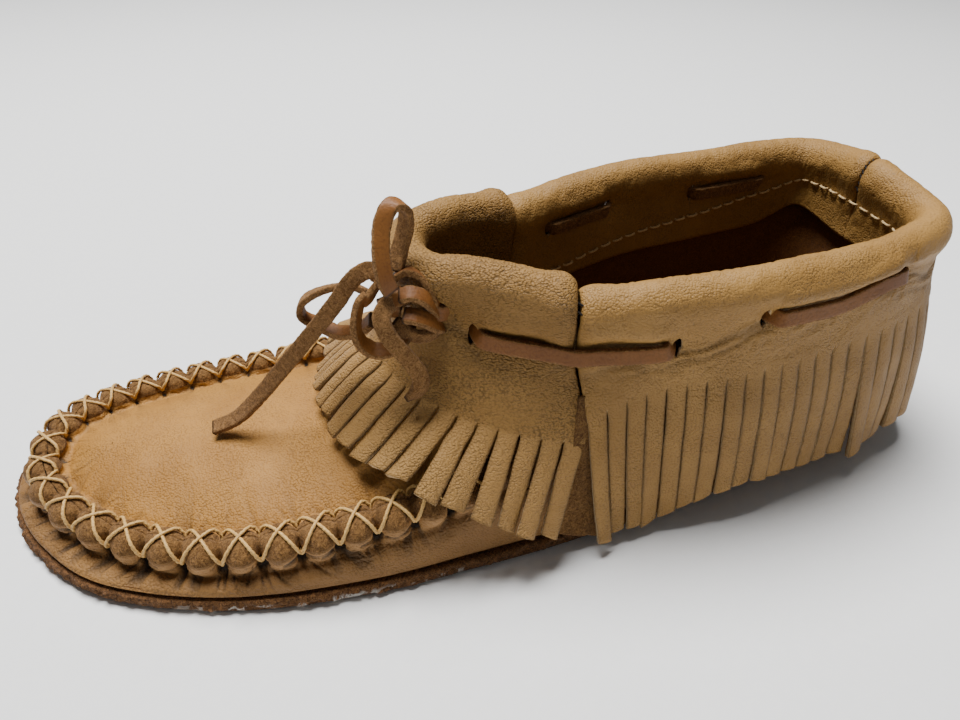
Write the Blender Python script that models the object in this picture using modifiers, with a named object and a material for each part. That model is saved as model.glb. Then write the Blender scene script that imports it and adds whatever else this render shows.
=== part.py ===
"""A left-foot leather moccasin: hard outsole, puckered toe, laced plug, fringed cuffs and a tied lace.

Metres, +Z up. The toe points along -X, the heel along +X, and +Y is the inner side of the foot. The outsole
rests on z = 0 and the middle of the shoe's box is over the origin. The tables below are in millimetres, in
the last's own frame: x along the foot, w outward from the bowed centre line, z up from the ground.
"""

import bisect
import math

import bmesh
import bpy
from mathutils import Vector

MM = 0.001

# The last: its centre line bows sideways, as a foot does.
HALF_LENGTH = 125.0
BOW = 16.0
BOW_START = 20.0

# Leather, lace and thread gauges.
OUTSOLE_THICK = 4.0
LEATHER = 1.5
CUFF_LEATHER = 1.3
GAP = 0.35
LACE_RADIUS = 1.3
KNOT_SIZE = (4.6, 4.2, 5.2)
LACING_RADIUS = 0.65
THREAD_RADIUS = 0.4

# Outsole edge from toe to heel: x, w. The last seven stations stand under the cuffs' rear seven.
SOLE = [
    (-123.8, 0), (-122, 12), (-114.5, 25.5), (-99, 38), (-70, 44.5), (-35, 44), (-12, 41.5),
    (5, 40), (20, 38.5), (38, 37), (60, 35.5), (85, 33.5), (109, 27), (121, 14), (125, 0),
]
# Top of the puckered ridge from the toe to just below the side seam: x, w, z.
RIDGE = [
    (-113.5, 0, 15), (-112, 9, 16), (-105.5, 19, 16), (-91.5, 29, 15.5), (-68.5, 36, 16.5),
    (-38.5, 36.5, 21), (-8.5, 33.5, 27), (8, 29.5, 37),
]
RIDGE_LIP = 4.5
RIDGE_SPREAD = 3.4
# The plug's centre line opposite each ridge station, and opposite the side seam: x, z.
PLUG_CENTRE = [
    (-97, 17), (-97, 17), (-95, 17.3), (-86, 18.6), (-67, 20.6), (-43, 24.5), (-27, 34), (-18, 48),
    (-14.8, 60),
]

# Front cuff from its middle to the side seam: the fold's crest, the height of the inner layer's hem stitch,
# the tops of the fringe's slits, the tips of its strands and the height of the inner layer's raw edge.
FRONT_CUFF = [
    (-15.5, 0, 73.6, 57, -25.5, 0, 46, -41, 0, 29.5, 54.5),
    (-12.5, 11, 74, 56, -22, 14, 43.5, -38, 19, 28, 53.5),
    (-3, 17, 74.6, 52, -12, 25, 39.5, -27, 37, 29.8, 49.5),
    (7, 22, 73, 47.5, 1.5, 33, 36.5, -8, 43.5, 18.5, 44.5),
    (17.3, 26, 70, 44.5, 17, 36.8, 32.5, 10, 45, 9.5, 41),
]
# Rear cuffs from the side seam to the heel seam, in the same columns.
REAR_CUFF = [
    (18.5, 26.2, 68.5, 44.5, 20.1, 35.4, 38.5, 20.8, 44.5, 5, 41),
    (35, 30.5, 70.5, 44.5, 35.6, 35.8, 44, 36, 42, 4.5, 40.5),
    (58, 34.3, 72, 49, 58, 39.3, 46, 58, 44, 11.5, 43),
    (85, 34.6, 71.5, 52, 85.5, 39.5, 47, 86.5, 43.5, 10, 43.5),
    (109, 33, 71.5, 55.5, 111.5, 38, 48, 113.5, 42, 9.5, 44.5),
    (125.5, 25.5, 72, 60, 129, 30.5, 49, 133, 35.5, 12, 51.5),
    (127, 0, 75, 61.5, 131.5, 0, 50, 137, 0, 16, 50),
]
# Height of the quarter's top edge inside the rear cuffs, station by station.
REAR_WALL = [45.5, 43.5, 43.5, 50.5, 55.5, 57.5, 59]
ROLL = 4.3
CUFF_SWELL = 1.2
LACE_DROP = 12.0
SEAM_GAP = 0.45
FRONT_STRAND = 3.55
REAR_STRAND = 5.2
SLIT = 0.7
STITCH = 8.4
SEAM_STITCHES = 9
ROLL_HEIGHT = 5.0
# The quarter's top edge stands this far inside the cuffs' fold.
WALL_INSET = 0.6
# The ridge's two leathers stand apart by twice this, down to where the cuffs take over.
RIDGE_HALF = 1.9
RIDGE_FADE = (18.0, 40.0)
# The lacing's holes: outward from the ridge line and down, on the wall's side and on the plug's.
WALL_HOLE = (RIDGE_SPREAD + GAP + LACING_RADIUS + 0.2, RIDGE_LIP)
PLUG_HOLE = (-4.3, 1.7)
LACING_ENDS = 26.0
# The lace's depth in a cuff: outside it, inside its hollow and inside the shoe.
LACE_LEVELS = {
    "out": ROLL + CUFF_SWELL / 2 + GAP + LACE_RADIUS,
    "cavity": 0.3,
    "in": -ROLL - GAP - LACE_RADIUS,
}
# Where the lace passes a layer: lengths from the front's middle, and along the rear cuffs from each end.
FRONT_SLITS = [(17, "cavity"), (24.5, "out"), (-26, "cavity"), (-12.5, "out")]
NEAR_SLITS = [(25, "in"), (47, "out"), (85, "cavity")]
FAR_SLITS = [(90, "in"), (67, "out"), (35, "in"), (12, "out")]
LACE_END = 8.0
LACE_BEND = 1.8
# Faces up a cuff's column: the strands', and those that a slit in the outer or inner layer leaves out.
STRAND_ROWS = range(3)
OUTER_HOLE, INNER_HOLE = 4, 9

# The tied lace in front of the near front slit, as routes: x, w, z.
KNOT = (-22, -15.5, 64.5)
FROM_KNOT = [(-16.2, -19.4, 62.6), (-14.4, -20.2, 62)]
TALL_LOOP = [
    (-22.6, -18.8, 69.6), (-23.6, -19, 72.5), (-24, -17.5, 77), (-23, -14.5, 83), (-20.3, -12.3, 87),
    (-17.2, -10.5, 85.5), (-17, -9.6, 80.5), (-18.8, -10.2, 75), (-20.3, -12, 70.8),
]
LEFT_LOOP = [
    (-26.2, -11.8, 65.4), (-30.2, -8.4, 66), (-36, -5.8, 64.2), (-41, -3.6, 60.4), (-41.8, -2.8, 56.2),
    (-38, -4.4, 54), (-33.5, -8, 53.4), (-29, -11, 56), (-26.4, -12.8, 59.3),
]
LOW_LOOP = [
    (-26.4, -16, 67), (-29.3, -17, 66.6), (-30.8, -18, 62), (-30.4, -18.4, 57.5), (-27.2, -18.6, 54.4),
    (-23, -19.2, 55.2), (-21, -18.4, 57.6),
]
LONG_TAIL = [
    (-23.4, -13.6, 70), (-26, -12.8, 72.2), (-30, -12, 69.6), (-35, -10.8, 62.2), (-43, -8.6, 51.2),
    (-50, -6.6, 41.6), (-56, -5, 33.6), (-62, -3.6, 26.8), (-68.5, -2.6, 23),
]
SHORT_TAIL = [
    (-24.6, -20.1, 66), (-25.6, -21.8, 63.8), (-24, -22.8, 59.6), (-20.6, -23.8, 54.6), (-18.2, -24, 49.8),
    (-18.6, -24, 46), (-21, -23.8, 43.4),
]


def world(x, w, z):
    """The last's (x, w, z) in millimetres as a point in metres."""
    return Vector((x, BOW * ((x - BOW_START) / HALF_LENGTH) ** 2 + w, z)) * MM


def between(a, b, t):
    return tuple(p + (q - p) * t for p, q in zip(a, b))


def smooth(points, steps, closed=False):
    """Rows on the Catmull-Rom curve through these rows of numbers."""
    count = len(points)
    spans = count if closed else count - 1
    rows = []
    for i in range(spans * steps + (not closed)):
        k = min(i // steps, spans - 1)
        t = i / steps - k
        picks = [(k + d) % count if closed else min(max(k + d, 0), count - 1) for d in (-1, 0, 1, 2)]
        a, b, c, d = (points[p] for p in picks)
        rows.append(tuple(
            0.5 * (2 * q + (r - p) * t + (2 * p - 5 * q + 4 * r - s) * t * t
                   + (3 * q - p - 3 * r + s) * t ** 3)
            for p, q, r, s in zip(a, b, c, d)
        ))
    return rows


def mirrored(table, w_columns, at_start):
    """A half table made whole across the centre line; the near side has negative w."""
    near = [tuple(-v if i in w_columns else v for i, v in enumerate(row)) for row in table]
    far = [tuple(row) for row in table]
    if at_start:
        return far[:0:-1] + near
    return near + far[-2::-1]


def outward_of(a, b):
    """The direction outward from a run that passes from a to b with the near side's heel-ward sense."""
    dx, dw = b[0] - a[0], b[1] - a[1]
    size = math.hypot(dx, dw)
    return dw / size, -dx / size


class Run:
    """A curve through table rows, read by its length in plan."""

    def __init__(self, rows, steps=12):
        self.rows = smooth(rows, steps)
        self.reach = [0.0]
        for a, b in zip(self.rows, self.rows[1:]):
            self.reach.append(self.reach[-1] + math.hypot(b[0] - a[0], b[1] - a[1]))
        self.length = self.reach[-1]

    def at(self, s):
        i = min(max(bisect.bisect_right(self.reach, s) - 1, 0), len(self.rows) - 2)
        t = (s - self.reach[i]) / (self.reach[i + 1] - self.reach[i])
        return between(self.rows[i], self.rows[i + 1], t)

    def outward(self, s):
        a, b = self.at(s - 0.5), self.at(s + 0.5)
        return outward_of(a, b)

    def beside(self, s, offset, z):
        """The point at this offset outward from the run, at height z."""
        row, (nx, nw) = self.at(s), self.outward(s)
        return row[0] + nx * offset, row[1] + nw * offset, z


def front_run():
    """The front cuff's fold, from the far side seam round the front to the near one."""
    return Run(mirrored(FRONT_CUFF, (1, 5, 8), True))


def rear_run():
    """Both rear cuffs' folds, from the near side seam round the heel to the far one."""
    return Run(mirrored(REAR_CUFF, (1, 5, 8), False))


def collection(name):
    made = bpy.data.collections.new(name)
    bpy.context.scene.collection.children.link(made)
    return made


def material(name, colour, roughness):
    made = bpy.data.materials.new(name)
    made.use_nodes = True
    shader = made.node_tree.nodes["Principled BSDF"]
    shader.inputs["Base Color"].default_value = (*colour, 1)
    shader.inputs["Roughness"].default_value = roughness
    shader.inputs["Metallic"].default_value = 0.0
    made.diffuse_color = (*colour, 1)
    return made


def add(name, data, finish, home):
    made = bpy.data.objects.new(name, data)
    data.materials.append(finish)
    home.objects.link(made)
    return made


def sheet(name, rows, thick, finish, home, holes=frozenset(), round_trip=False, floor=False):
    """A loft through rows of points, less the faces named in holes, given its leather's thickness inward."""
    shape = bmesh.new()
    grid = [[shape.verts.new(world(*point)) for point in row] for row in rows]
    count = len(grid)
    for i in range(count if round_trip else count - 1):
        for j in range(len(grid[0]) - 1):
            if (i, j) in holes:
                continue
            a, b = grid[i], grid[(i + 1) % count]
            shape.faces.new((a[j], b[j], b[j + 1], a[j + 1]))
    if floor:
        shape.faces.new([row[0] for row in grid][::-1])
    bmesh.ops.delete(shape, geom=[v for v in shape.verts if not v.link_faces], context="VERTS")
    bmesh.ops.remove_doubles(shape, verts=shape.verts, dist=1e-6)
    bmesh.ops.dissolve_degenerate(shape, edges=shape.edges, dist=1e-7)
    data = bpy.data.meshes.new(name)
    shape.to_mesh(data)
    shape.free()
    made = add(name, data, finish, home)
    solid = made.modifiers.new("Thickness", "SOLIDIFY")
    solid.thickness = thick * MM
    solid.offset = -1
    return made


def tube(name, points, radius, finish, home, sides=2, closed=False):
    """A round cord through points in metres."""
    data = bpy.data.curves.new(name, "CURVE")
    data.dimensions = "3D"
    spline = data.splines.new("POLY")
    spline.points.add(len(points) - 1)
    for knot, point in zip(spline.points, points):
        knot.co = (*point, 1)
    spline.use_cyclic_u = closed
    data.bevel_depth = radius * MM
    data.bevel_resolution = sides
    data.use_fill_caps = not closed
    return add(name, data, finish, home)


def make_outsole(finish, home):
    """The thick sole leather, cut to the last's outline."""
    outline = [world(x, w, 0) for x, w in smooth(mirrored(SOLE, (1,), False)[:-1], 4, True)]
    data = bpy.data.curves.new("outsole", "CURVE")
    data.dimensions = "2D"
    data.fill_mode = "BOTH"
    data.extrude = OUTSOLE_THICK / 2 * MM
    spline = data.splines.new("POLY")
    spline.points.add(len(outline) - 1)
    for knot, point in zip(spline.points, outline):
        knot.co = (point.x, point.y, 0, 1)
    spline.use_cyclic_u = True
    made = add("outsole", data, finish, home)
    made.location.z = OUTSOLE_THICK / 2 * MM
    return made


def wall_tops():
    """The wall's top edge: the ridge's outer half in front, the edge inside the cuffs behind."""
    rear = [(x, w - WALL_INSET, z) for (x, w, *_), z in zip(REAR_CUFF, REAR_WALL)]
    return RIDGE + rear[:-1] + [(rear[-1][0] - WALL_INSET, 0, rear[-1][2])]


def make_bottom(finish, home):
    """One piece that lies under the foot and comes up round it as the wall."""
    steps = 3
    feet = smooth(mirrored(SOLE, (1,), False)[:-1], steps, True)
    tops = smooth(mirrored(wall_tops(), (1,), False)[:-1], steps, True)
    fade_from, fade_to = RIDGE_FADE
    rows = []
    for i, (foot, top) in enumerate(zip(feet, tops)):
        out = outward_of(tops[i - 1], tops[(i + 1) % len(tops)])
        front = 1 - min(max((top[0] - fade_from) / (fade_to - fade_from), 0), 1)
        lean = 0.5 + (RIDGE_SPREAD - 0.5) * front
        lip = (top[0] + out[0] * lean, top[1] + out[1] * lean, top[2] - RIDGE_LIP)
        edge = (top[0] + out[0] * RIDGE_HALF * front, top[1] + out[1] * RIDGE_HALF * front, top[2])
        shrink = 1 - 1.6 / math.hypot(foot[0], foot[1])
        base = (foot[0] * shrink, foot[1] * shrink, OUTSOLE_THICK + GAP)
        row = [base]
        for q in (0.25, 0.5, 0.75, 1.0):
            across = q ** (1 + 1.4 * front)
            row.append((
                base[0] + (lip[0] - base[0]) * across,
                base[1] + (lip[1] - base[1]) * across,
                base[2] + (lip[2] - base[2]) * q,
            ))
        rows.append(row + [edge])
    return sheet("bottom", rows, LEATHER, finish, home, round_trip=True, floor=True)


def plug_side(ridge, centre, out, share):
    """Points from the ridge in to the plug's centre line; share is 0 at the toe and 1 at the side seam."""
    edge = (ridge[0] - out[0] * RIDGE_HALF, ridge[1] - out[1] * RIDGE_HALF, ridge[2])
    spread = RIDGE_SPREAD + (2.1 - RIDGE_SPREAD) * share ** 4
    foot = (ridge[0] - out[0] * spread, ridge[1] - out[1] * spread, ridge[2] - RIDGE_LIP)
    points = [edge, foot]
    for t in (0.88, 0.7, 0.45, 0.2):
        points.append((
            centre[0] + (foot[0] - centre[0]) * t ** (1.2 + 2.8 * share),
            foot[1] * t,
            centre[1] + (foot[2] - centre[1]) * t ** 2.4,
        ))
    return points


def make_plug(finish, home):
    """The piece over the toes, whose rear end rises over the instep to the collar."""
    steps = 3
    stations = RIDGE + [wall_tops()[len(RIDGE)]]
    whole = smooth(mirrored(stations, (1,), True), steps)
    middle = len(whole) // 2
    near = whole[middle:]
    centres = smooth(PLUG_CENTRE, steps)
    rows = []
    for i, (ridge, centre) in enumerate(zip(near, centres)):
        out = outward_of(whole[middle + i - 1], whole[min(middle + i + 1, len(whole) - 1)])
        side = plug_side(ridge, centre, out, i / (len(near) - 1))
        far = [(x, -w, z) for x, w, z in side]
        rows.append(side + [(centre[0], 0, centre[1])] + far[::-1])
    return sheet("plug", rows, LEATHER, finish, home)


def cuff_row(run, s):
    """One column of a cuff, from the strand's tip up, over the roll and down to the raw edge."""
    _, _, crest, _, slit_x, slit_w, slit_z, tip_x, tip_w, tip_z, raw = run.at(s)
    slit, tip = (slit_x, slit_w, slit_z), (tip_x, tip_w, tip_z)
    nx, nw = run.outward(s)
    column = [tip]
    for t, bulge in ((0.7, 0.9), (0.35, 1.0)):
        px, pw, pz = between(slit, tip, t)
        column.append((px + nx * bulge, pw + nw * bulge, pz))
    column += [slit, run.beside(s, ROLL + CUFF_SWELL, crest - LACE_DROP - 5)]
    for offset, drop in ((ROLL, 5), (0.6 * ROLL, 1.3), (0, 0), (-0.6 * ROLL, 1.3), (-ROLL, 5)):
        column.append(run.beside(s, offset, crest - drop))
    return column + [run.beside(s, -ROLL, crest - LACE_DROP - 5), run.beside(s, -ROLL, raw)]


def strand_centre(s, start, stop, wide):
    """The middle of the fringe strand that this length along a cuff falls on."""
    pitch = (stop - start) / round((stop - start) / wide)
    return start + (int((s - start) / pitch) + 0.5) * pitch


def make_cuff(name, run, start, stop, wide, slits, finish, home):
    """A folded, fringed cuff between two lengths along its run. slits are (length, rows of holes)."""
    count = round((stop - start) / wide)
    pitch = (stop - start) / count
    edges = []
    for k in range(count):
        edges.append(start + k * pitch + (SLIT / 2 if k else 0))
        edges.append(start + (k + 1) * pitch - (SLIT / 2 if k < count - 1 else 0))
    rows = [cuff_row(run, s) for s in edges]
    holes = {(i, j) for i in range(1, len(rows) - 1, 2) for j in STRAND_ROWS}
    holes |= {(2 * int((s - start) / pitch), row) for s, layers in slits for row in layers}
    return sheet(name, rows, CUFF_LEATHER, finish, home, holes)


def lace_slits(front, rear):
    """The front cuff's slits and the rear ones', each at a strand's middle, and the depth after it."""
    middle, heel = front.length / 2, rear.length / 2

    def front_at(s):
        return strand_centre(s, SEAM_GAP, front.length - SEAM_GAP, FRONT_STRAND)

    def near_at(s):
        return strand_centre(s, SEAM_GAP, heel - SEAM_GAP, REAR_STRAND)

    def far_at(s):
        return strand_centre(s, heel + SEAM_GAP, rear.length - SEAM_GAP, REAR_STRAND)

    in_front = [(front_at(middle + s), level) for s, level in FRONT_SLITS]
    behind = [(near_at(s), level) for s, level in NEAR_SLITS]
    behind += [(far_at(rear.length - s), level) for s, level in FAR_SLITS]
    return in_front, behind


def layers_passed(slits):
    """For each slit of the rear cuffs, its place and the layers that it is cut through."""
    found, level = [], "out"
    for s, new in slits:
        outer = (OUTER_HOLE,) if "out" in (level, new) else ()
        inner = (INNER_HOLE,) if "in" in (level, new) else ()
        found.append((s, outer + inner))
        level = new
    return found


def make_lace_run(front, rear, front_slits, rear_slits, finish, home):
    """The lace's held stretch: in at the near front slit, round the collar, out at the far front one."""
    points = [world(*point) for point in FROM_KNOT]

    def add_point(run, s, offset):
        points.append(world(*run.beside(s, offset, run.at(s)[2] - LACE_DROP)))

    def cross(run, s, a, b):
        low, high = LACE_LEVELS[a], LACE_LEVELS[b]
        step = math.copysign(0.9, high - low)
        for shift, offset in ((-LACE_BEND, low), (-0.2, low + step), (0.0, low + 2.4 * step),
                              (0.0, high - 2.4 * step), (0.2, high - step), (LACE_BEND, high)):
            add_point(run, s + shift, offset)

    def along(run, s, stop, level):
        count = max(round((stop - s) / 6.0), 1)
        for k in range(1, count):
            add_point(run, s + (stop - s) * k / count, LACE_LEVELS[level])

    level = "out"
    for run, slits, start, stop in (
            (front, front_slits[:2], None, front.length),
            (rear, rear_slits, 0, rear.length),
            (front, front_slits[2:], 0, front.length / 2 + LACE_END)):
        place = start
        for s, new in slits:
            if place is not None:
                along(run, place, s - LACE_BEND, level)
            cross(run, s, level, new)
            level, place = new, s + LACE_BEND
        along(run, place, stop, level)
    return tube("lace", points, LACE_RADIUS, finish, home)


def make_lacing(finish, home):
    """The waxed cord over the ridge, one slanting pass for each stitch, down to a hole on each side."""
    stations = RIDGE + [wall_tops()[len(RIDGE)]]
    run = Run(mirrored(stations, (1,), True))
    start, stop = LACING_ENDS, run.length - LACING_ENDS
    count = round((stop - start) / STITCH)
    pitch = (stop - start) / count
    points = []
    for k in range(count):
        way = 1 if k % 2 else -1
        for share, side, over in ((0.1, way, False), (0.3, way, True), (0.7, -way, True), (0.9, -way, False)):
            s = start + (k + share) * pitch
            if over:
                offset, drop = side * RIDGE_SPREAD, -GAP - LACING_RADIUS
            else:
                offset, drop = WALL_HOLE if side > 0 else PLUG_HOLE
            points.append(world(*run.beside(s, offset, run.at(s)[2] - drop)))
    return tube("plug_lacing", points, LACING_RADIUS, finish, home, sides=0)


def make_hem_thread(front, rear, finish, home):
    """The running stitch along the cuffs' inner edges, as one loop round the opening."""
    offset = -ROLL - GAP - THREAD_RADIUS
    points = []
    for run in (front, rear):
        count = round(run.length / 6.0)
        for k in range(count):
            s = (k + 0.5) * run.length / count
            points.append(world(*run.beside(s, offset, run.at(s)[3])))
    return tube("hem_thread", points, THREAD_RADIUS, finish, home, sides=0, closed=True)


def make_seam_thread(name, run, s, finish, home):
    """Whip stitches over the roll along the seam between two cuffs."""
    points = []
    away = GAP + THREAD_RADIUS + 0.2
    for k in range(SEAM_STITCHES):
        way = 1 if k % 2 else -1
        turn = math.radians(-60 + 145 * k / (SEAM_STITCHES - 1))
        rise = (ROLL_HEIGHT + away) * math.cos(turn) - ROLL_HEIGHT
        points.append(world(*run.beside(s + way * 1.3, (ROLL + away) * math.sin(turn), run.at(s)[2] + rise)))
    return tube(name, points, THREAD_RADIUS, finish, home, sides=0)


def make_knot(finish, home):
    bpy.ops.mesh.primitive_uv_sphere_add(segments=16, ring_count=8, radius=1, location=world(*KNOT))
    made = bpy.context.active_object
    made.name = made.data.name = "lace_knot"
    for vertex in made.data.vertices:
        vertex.co = Vector(v * size * MM for v, size in zip(vertex.co, KNOT_SIZE))
    made.data.materials.append(finish)
    for owner in list(made.users_collection):
        owner.objects.unlink(made)
    home.objects.link(made)
    made.data.shade_smooth()
    return made


def lace_end(name, route, finish, home):
    """One end of the tied lace. Its origin is at the knot, which is where a tail swings."""
    points = [world(*p) for p in smooth(route, 3)]
    made = tube(name, [p - points[0] for p in points], LACE_RADIUS, finish, home)
    made.location = points[0]
    return made


def centre_over_origin(objects, free):
    """Shifts every object so that their box, without the free lace ends, is centred over the origin."""
    bpy.context.view_layer.update()
    graph = bpy.context.evaluated_depsgraph_get()
    corners = []
    for made in objects:
        shape = made.evaluated_get(graph).to_mesh()
        corners += [made.matrix_world @ v.co for v in shape.vertices]
    for axis in (0, 1):
        low, high = min(c[axis] for c in corners), max(c[axis] for c in corners)
        for made in objects + free:
            made.location[axis] -= (low + high) / 2


def main():
    for old in list(bpy.data.objects):
        bpy.data.objects.remove(old, do_unlink=True)
    home = collection("moccasin")
    sole = material("outsole_leather", (0.16, 0.07, 0.035), 0.95)
    tan = material("tan_leather", (0.50, 0.29, 0.13), 0.6)
    cuff = material("cuff_leather", (0.47, 0.27, 0.13), 0.65)
    thong = material("lace_leather", (0.25, 0.10, 0.04), 0.55)
    waxed = material("waxed_cord", (0.75, 0.60, 0.36), 0.5)
    dark = material("dark_thread", (0.05, 0.04, 0.035), 0.7)
    front, rear = front_run(), rear_run()
    heel = rear.length / 2
    front_slits, rear_slits = lace_slits(front, rear)
    front_holes = [(s, (OUTER_HOLE,)) for s, _ in front_slits]
    rear_holes = layers_passed(rear_slits)

    objects = [
        make_outsole(sole, home),
        make_bottom(tan, home),
        make_plug(tan, home),
        make_cuff("front_cuff", front, SEAM_GAP, front.length - SEAM_GAP, FRONT_STRAND,
                  front_holes, cuff, home),
        make_cuff("near_cuff", rear, SEAM_GAP, heel - SEAM_GAP, REAR_STRAND,
                  [h for h in rear_holes if h[0] < heel], cuff, home),
        make_cuff("far_cuff", rear, heel + SEAM_GAP, rear.length - SEAM_GAP, REAR_STRAND,
                  [h for h in rear_holes if h[0] > heel], cuff, home),
        make_lacing(waxed, home),
        make_hem_thread(front, rear, waxed, home),
        make_seam_thread("near_seam_thread", rear, 0.0, dark, home),
        make_seam_thread("far_seam_thread", rear, rear.length, dark, home),
        make_seam_thread("heel_seam_thread", rear, heel, dark, home),
        make_lace_run(front, rear, front_slits, rear_slits, thong, home),
        make_knot(thong, home),
    ]
    free = [lace_end(name, route, thong, home) for name, route in (
        ("lace_tall_loop", TALL_LOOP), ("lace_left_loop", LEFT_LOOP), ("lace_low_loop", LOW_LOOP),
        ("lace_long_tail", LONG_TAIL), ("lace_short_tail", SHORT_TAIL))]
    centre_over_origin(objects, free)


main()
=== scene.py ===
"""Looks for the left moccasin: gathered toe, laced ridge, folded fringed cuffs, flat thong tied in a bow.

Tables and gauges are in millimetres in the last's own frame: x along the foot towards the heel, w outward
from the bowed centre line (negative on the near, outer side), z up from the ground. place() turns them into
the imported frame's metres.
"""

import math

import bpy
import numpy as np
from mathutils import Matrix, Vector


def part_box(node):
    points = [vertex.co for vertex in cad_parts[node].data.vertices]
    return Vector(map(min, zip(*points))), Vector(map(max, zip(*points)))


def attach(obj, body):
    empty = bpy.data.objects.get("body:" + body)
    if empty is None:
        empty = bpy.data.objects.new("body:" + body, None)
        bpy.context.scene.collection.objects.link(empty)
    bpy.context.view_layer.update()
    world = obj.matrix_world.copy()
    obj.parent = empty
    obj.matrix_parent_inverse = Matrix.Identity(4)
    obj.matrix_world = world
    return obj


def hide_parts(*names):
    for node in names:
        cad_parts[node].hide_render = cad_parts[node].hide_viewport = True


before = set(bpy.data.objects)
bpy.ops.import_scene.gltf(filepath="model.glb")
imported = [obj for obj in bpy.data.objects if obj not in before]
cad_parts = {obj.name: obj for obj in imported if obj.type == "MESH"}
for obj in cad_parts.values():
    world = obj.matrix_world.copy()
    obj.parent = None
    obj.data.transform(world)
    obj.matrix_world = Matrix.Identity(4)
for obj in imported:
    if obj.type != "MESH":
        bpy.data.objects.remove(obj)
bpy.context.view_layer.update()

MM = 0.001
WELD = 0.002
HALF_LENGTH, BOW, BOW_START = 125.0, 16.0, 20.0
OUTSOLE_THICK, LEATHER, CUFF_LEATHER, GAP = 4.0, 1.5, 1.3, 0.35

# The last, as the CAD states it: sole edge (x, w), ridge top (x, w, z), plug centre line (x, z).
SOLE = [
    (-123.8, 0), (-122, 12), (-114.5, 25.5), (-99, 38), (-70, 44.5), (-35, 44), (-12, 41.5),
    (5, 40), (20, 38.5), (38, 37), (60, 35.5), (85, 33.5), (109, 27), (121, 14), (125, 0),
]
RIDGE = [
    (-113.5, 0, 15), (-112, 9, 16), (-105.5, 19, 16), (-91.5, 29, 15.5), (-68.5, 36, 16.5),
    (-38.5, 36.5, 21), (-8.5, 33.5, 27), (8, 29.5, 37),
]
PLUG_CENTRE = [
    (-97, 17), (-97, 17), (-95, 17.3), (-86, 18.6), (-67, 20.6), (-43, 24.5), (-27, 34), (-18, 48),
    (-14.8, 60),
]
# Cuffs: the fold's crest x, w, z, the hem stitch's z, the slits' tops, the strands' tips, the raw edge's z.
FRONT_CUFF = [
    (-15.5, 0, 73.6, 57, -25.5, 0, 46, -41, 0, 29.5, 54.5),
    (-12.5, 11, 74, 56, -22, 14, 43.5, -38, 19, 28, 53.5),
    (-3, 16.8, 75, 52, -12, 25, 39.5, -27, 37, 29.8, 49.5),
    (7, 21.8, 73.4, 47.5, 1.5, 33, 36.5, -8, 43.5, 18.5, 44.5),
    (17.9, 26.1, 70.4, 44.5, 18.7, 36.7, 32.5, 10, 45, 9.5, 41),
]
REAR_CUFF = [
    (18.0, 26.1, 68.5, 44.5, 18.9, 35.4, 38.5, 20.8, 44.5, 5, 41),
    (35, 30.5, 70.5, 44.5, 35.6, 35.8, 44, 36, 42, 4.5, 40.5),
    (58, 34.3, 72, 49, 58, 39.3, 46, 58, 44, 11.5, 43),
    (85, 34.6, 71.5, 52, 85.5, 39.5, 47, 86.5, 43.5, 10, 43.5),
    (109, 33, 71.5, 55.5, 111.5, 38, 48, 113.5, 42, 9.5, 44.5),
    (125.5, 25.5, 72, 60, 129, 30.5, 49, 133, 35.5, 12, 51.5),
    (127, 0, 75, 61.5, 131.5, 0, 50, 137, 0, 16, 50),
]
REAR_WALL = [45.5, 43.5, 43.5, 50.5, 55.5, 57.5, 59]
ROLL, LACE_DROP = 4.3, 12.0
FRONT_STRAND, REAR_STRAND, SEAM_GAP = 3.55, 5.2, 0.02
# Mesh steps across one strand, and in each span of a cuff's column from the strand's tip to the raw edge.
ACROSS = 10
COLUMN_STEPS = [9, 9, 9, 18, 4, 9, 8, 7, 7, 8, 12, 16]
SLIT_ROW, CREST_ROW = sum(COLUMN_STEPS[:3]), sum(COLUMN_STEPS[:8])
STITCHES, LACING_ENDS = 28, 26.0
# The lacing's holes: below the ridge in the wall, and in from the ridge's edge in the plug; and how steep the
# wall is there, as height per length along its face.
HOLE_DROP, PLUG_HOLE, WALL_STEEP = 5.8, 4.4, 0.8
# Slits, by distance from the front cuff's middle or from each side seam, and where the lace goes at each:
# outside the cuff, inside the collar, or into the cavity between the cuff's two layers.
FRONT_SLITS = [(17, "cavity"), (24.5, "out"), (-26, "cavity"), (-12.5, "out")]
NEAR_SLITS = [(25, "in"), (47, "out"), (85, "cavity")]
FAR_SLITS = [(90, "in"), (67, "out"), (35, "in"), (12, "out")]
LACE_WIDE, LACE_THICK = 4.0, 1.6

# The tied lace's free ends, on the same routes as the CAD's tubes, each with the way its grain side faces.
TALL_LOOP = [
    (-22.6, -18.8, 69.6, 0.3, -1, 0.1), (-23.6, -19, 72.5, 0.3, -1, 0.1), (-24, -17.5, 77, 0.25, -1, 0.2),
    (-23, -14.5, 83, 0.1, -0.8, 0.6), (-20.3, -12.3, 87, 0.4, -0.1, 1), (-17.2, -10.5, 85.5, 0.9, 0.3, 0.4),
    (-17, -9.6, 80.5, 0.8, 0.6, 0), (-18.8, -10.2, 75, 0.7, 0.7, -0.2), (-20.3, -12, 70.8, 0.7, 0.7, -0.2),
]
LEFT_LOOP = [
    (-26.2, -11.8, 65.4, -0.2, -0.7, -0.9), (-30.2, -8.4, 66, -0.1, -0.6, -1),
    (-36, -5.8, 64.2, 0.3, -0.4, -1), (-41, -3.6, 60.4, 0.9, -0.3, -0.5),
    (-41.8, -2.8, 56.2, 1, -0.3, 0.3), (-38, -4.4, 54, 0.4, -0.3, 1),
    (-33.5, -8, 53.4, 0, -0.3, 1), (-29, -11, 56, -0.3, -0.3, 1), (-26.4, -12.8, 59.3, -0.4, -0.3, 1),
]
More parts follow.
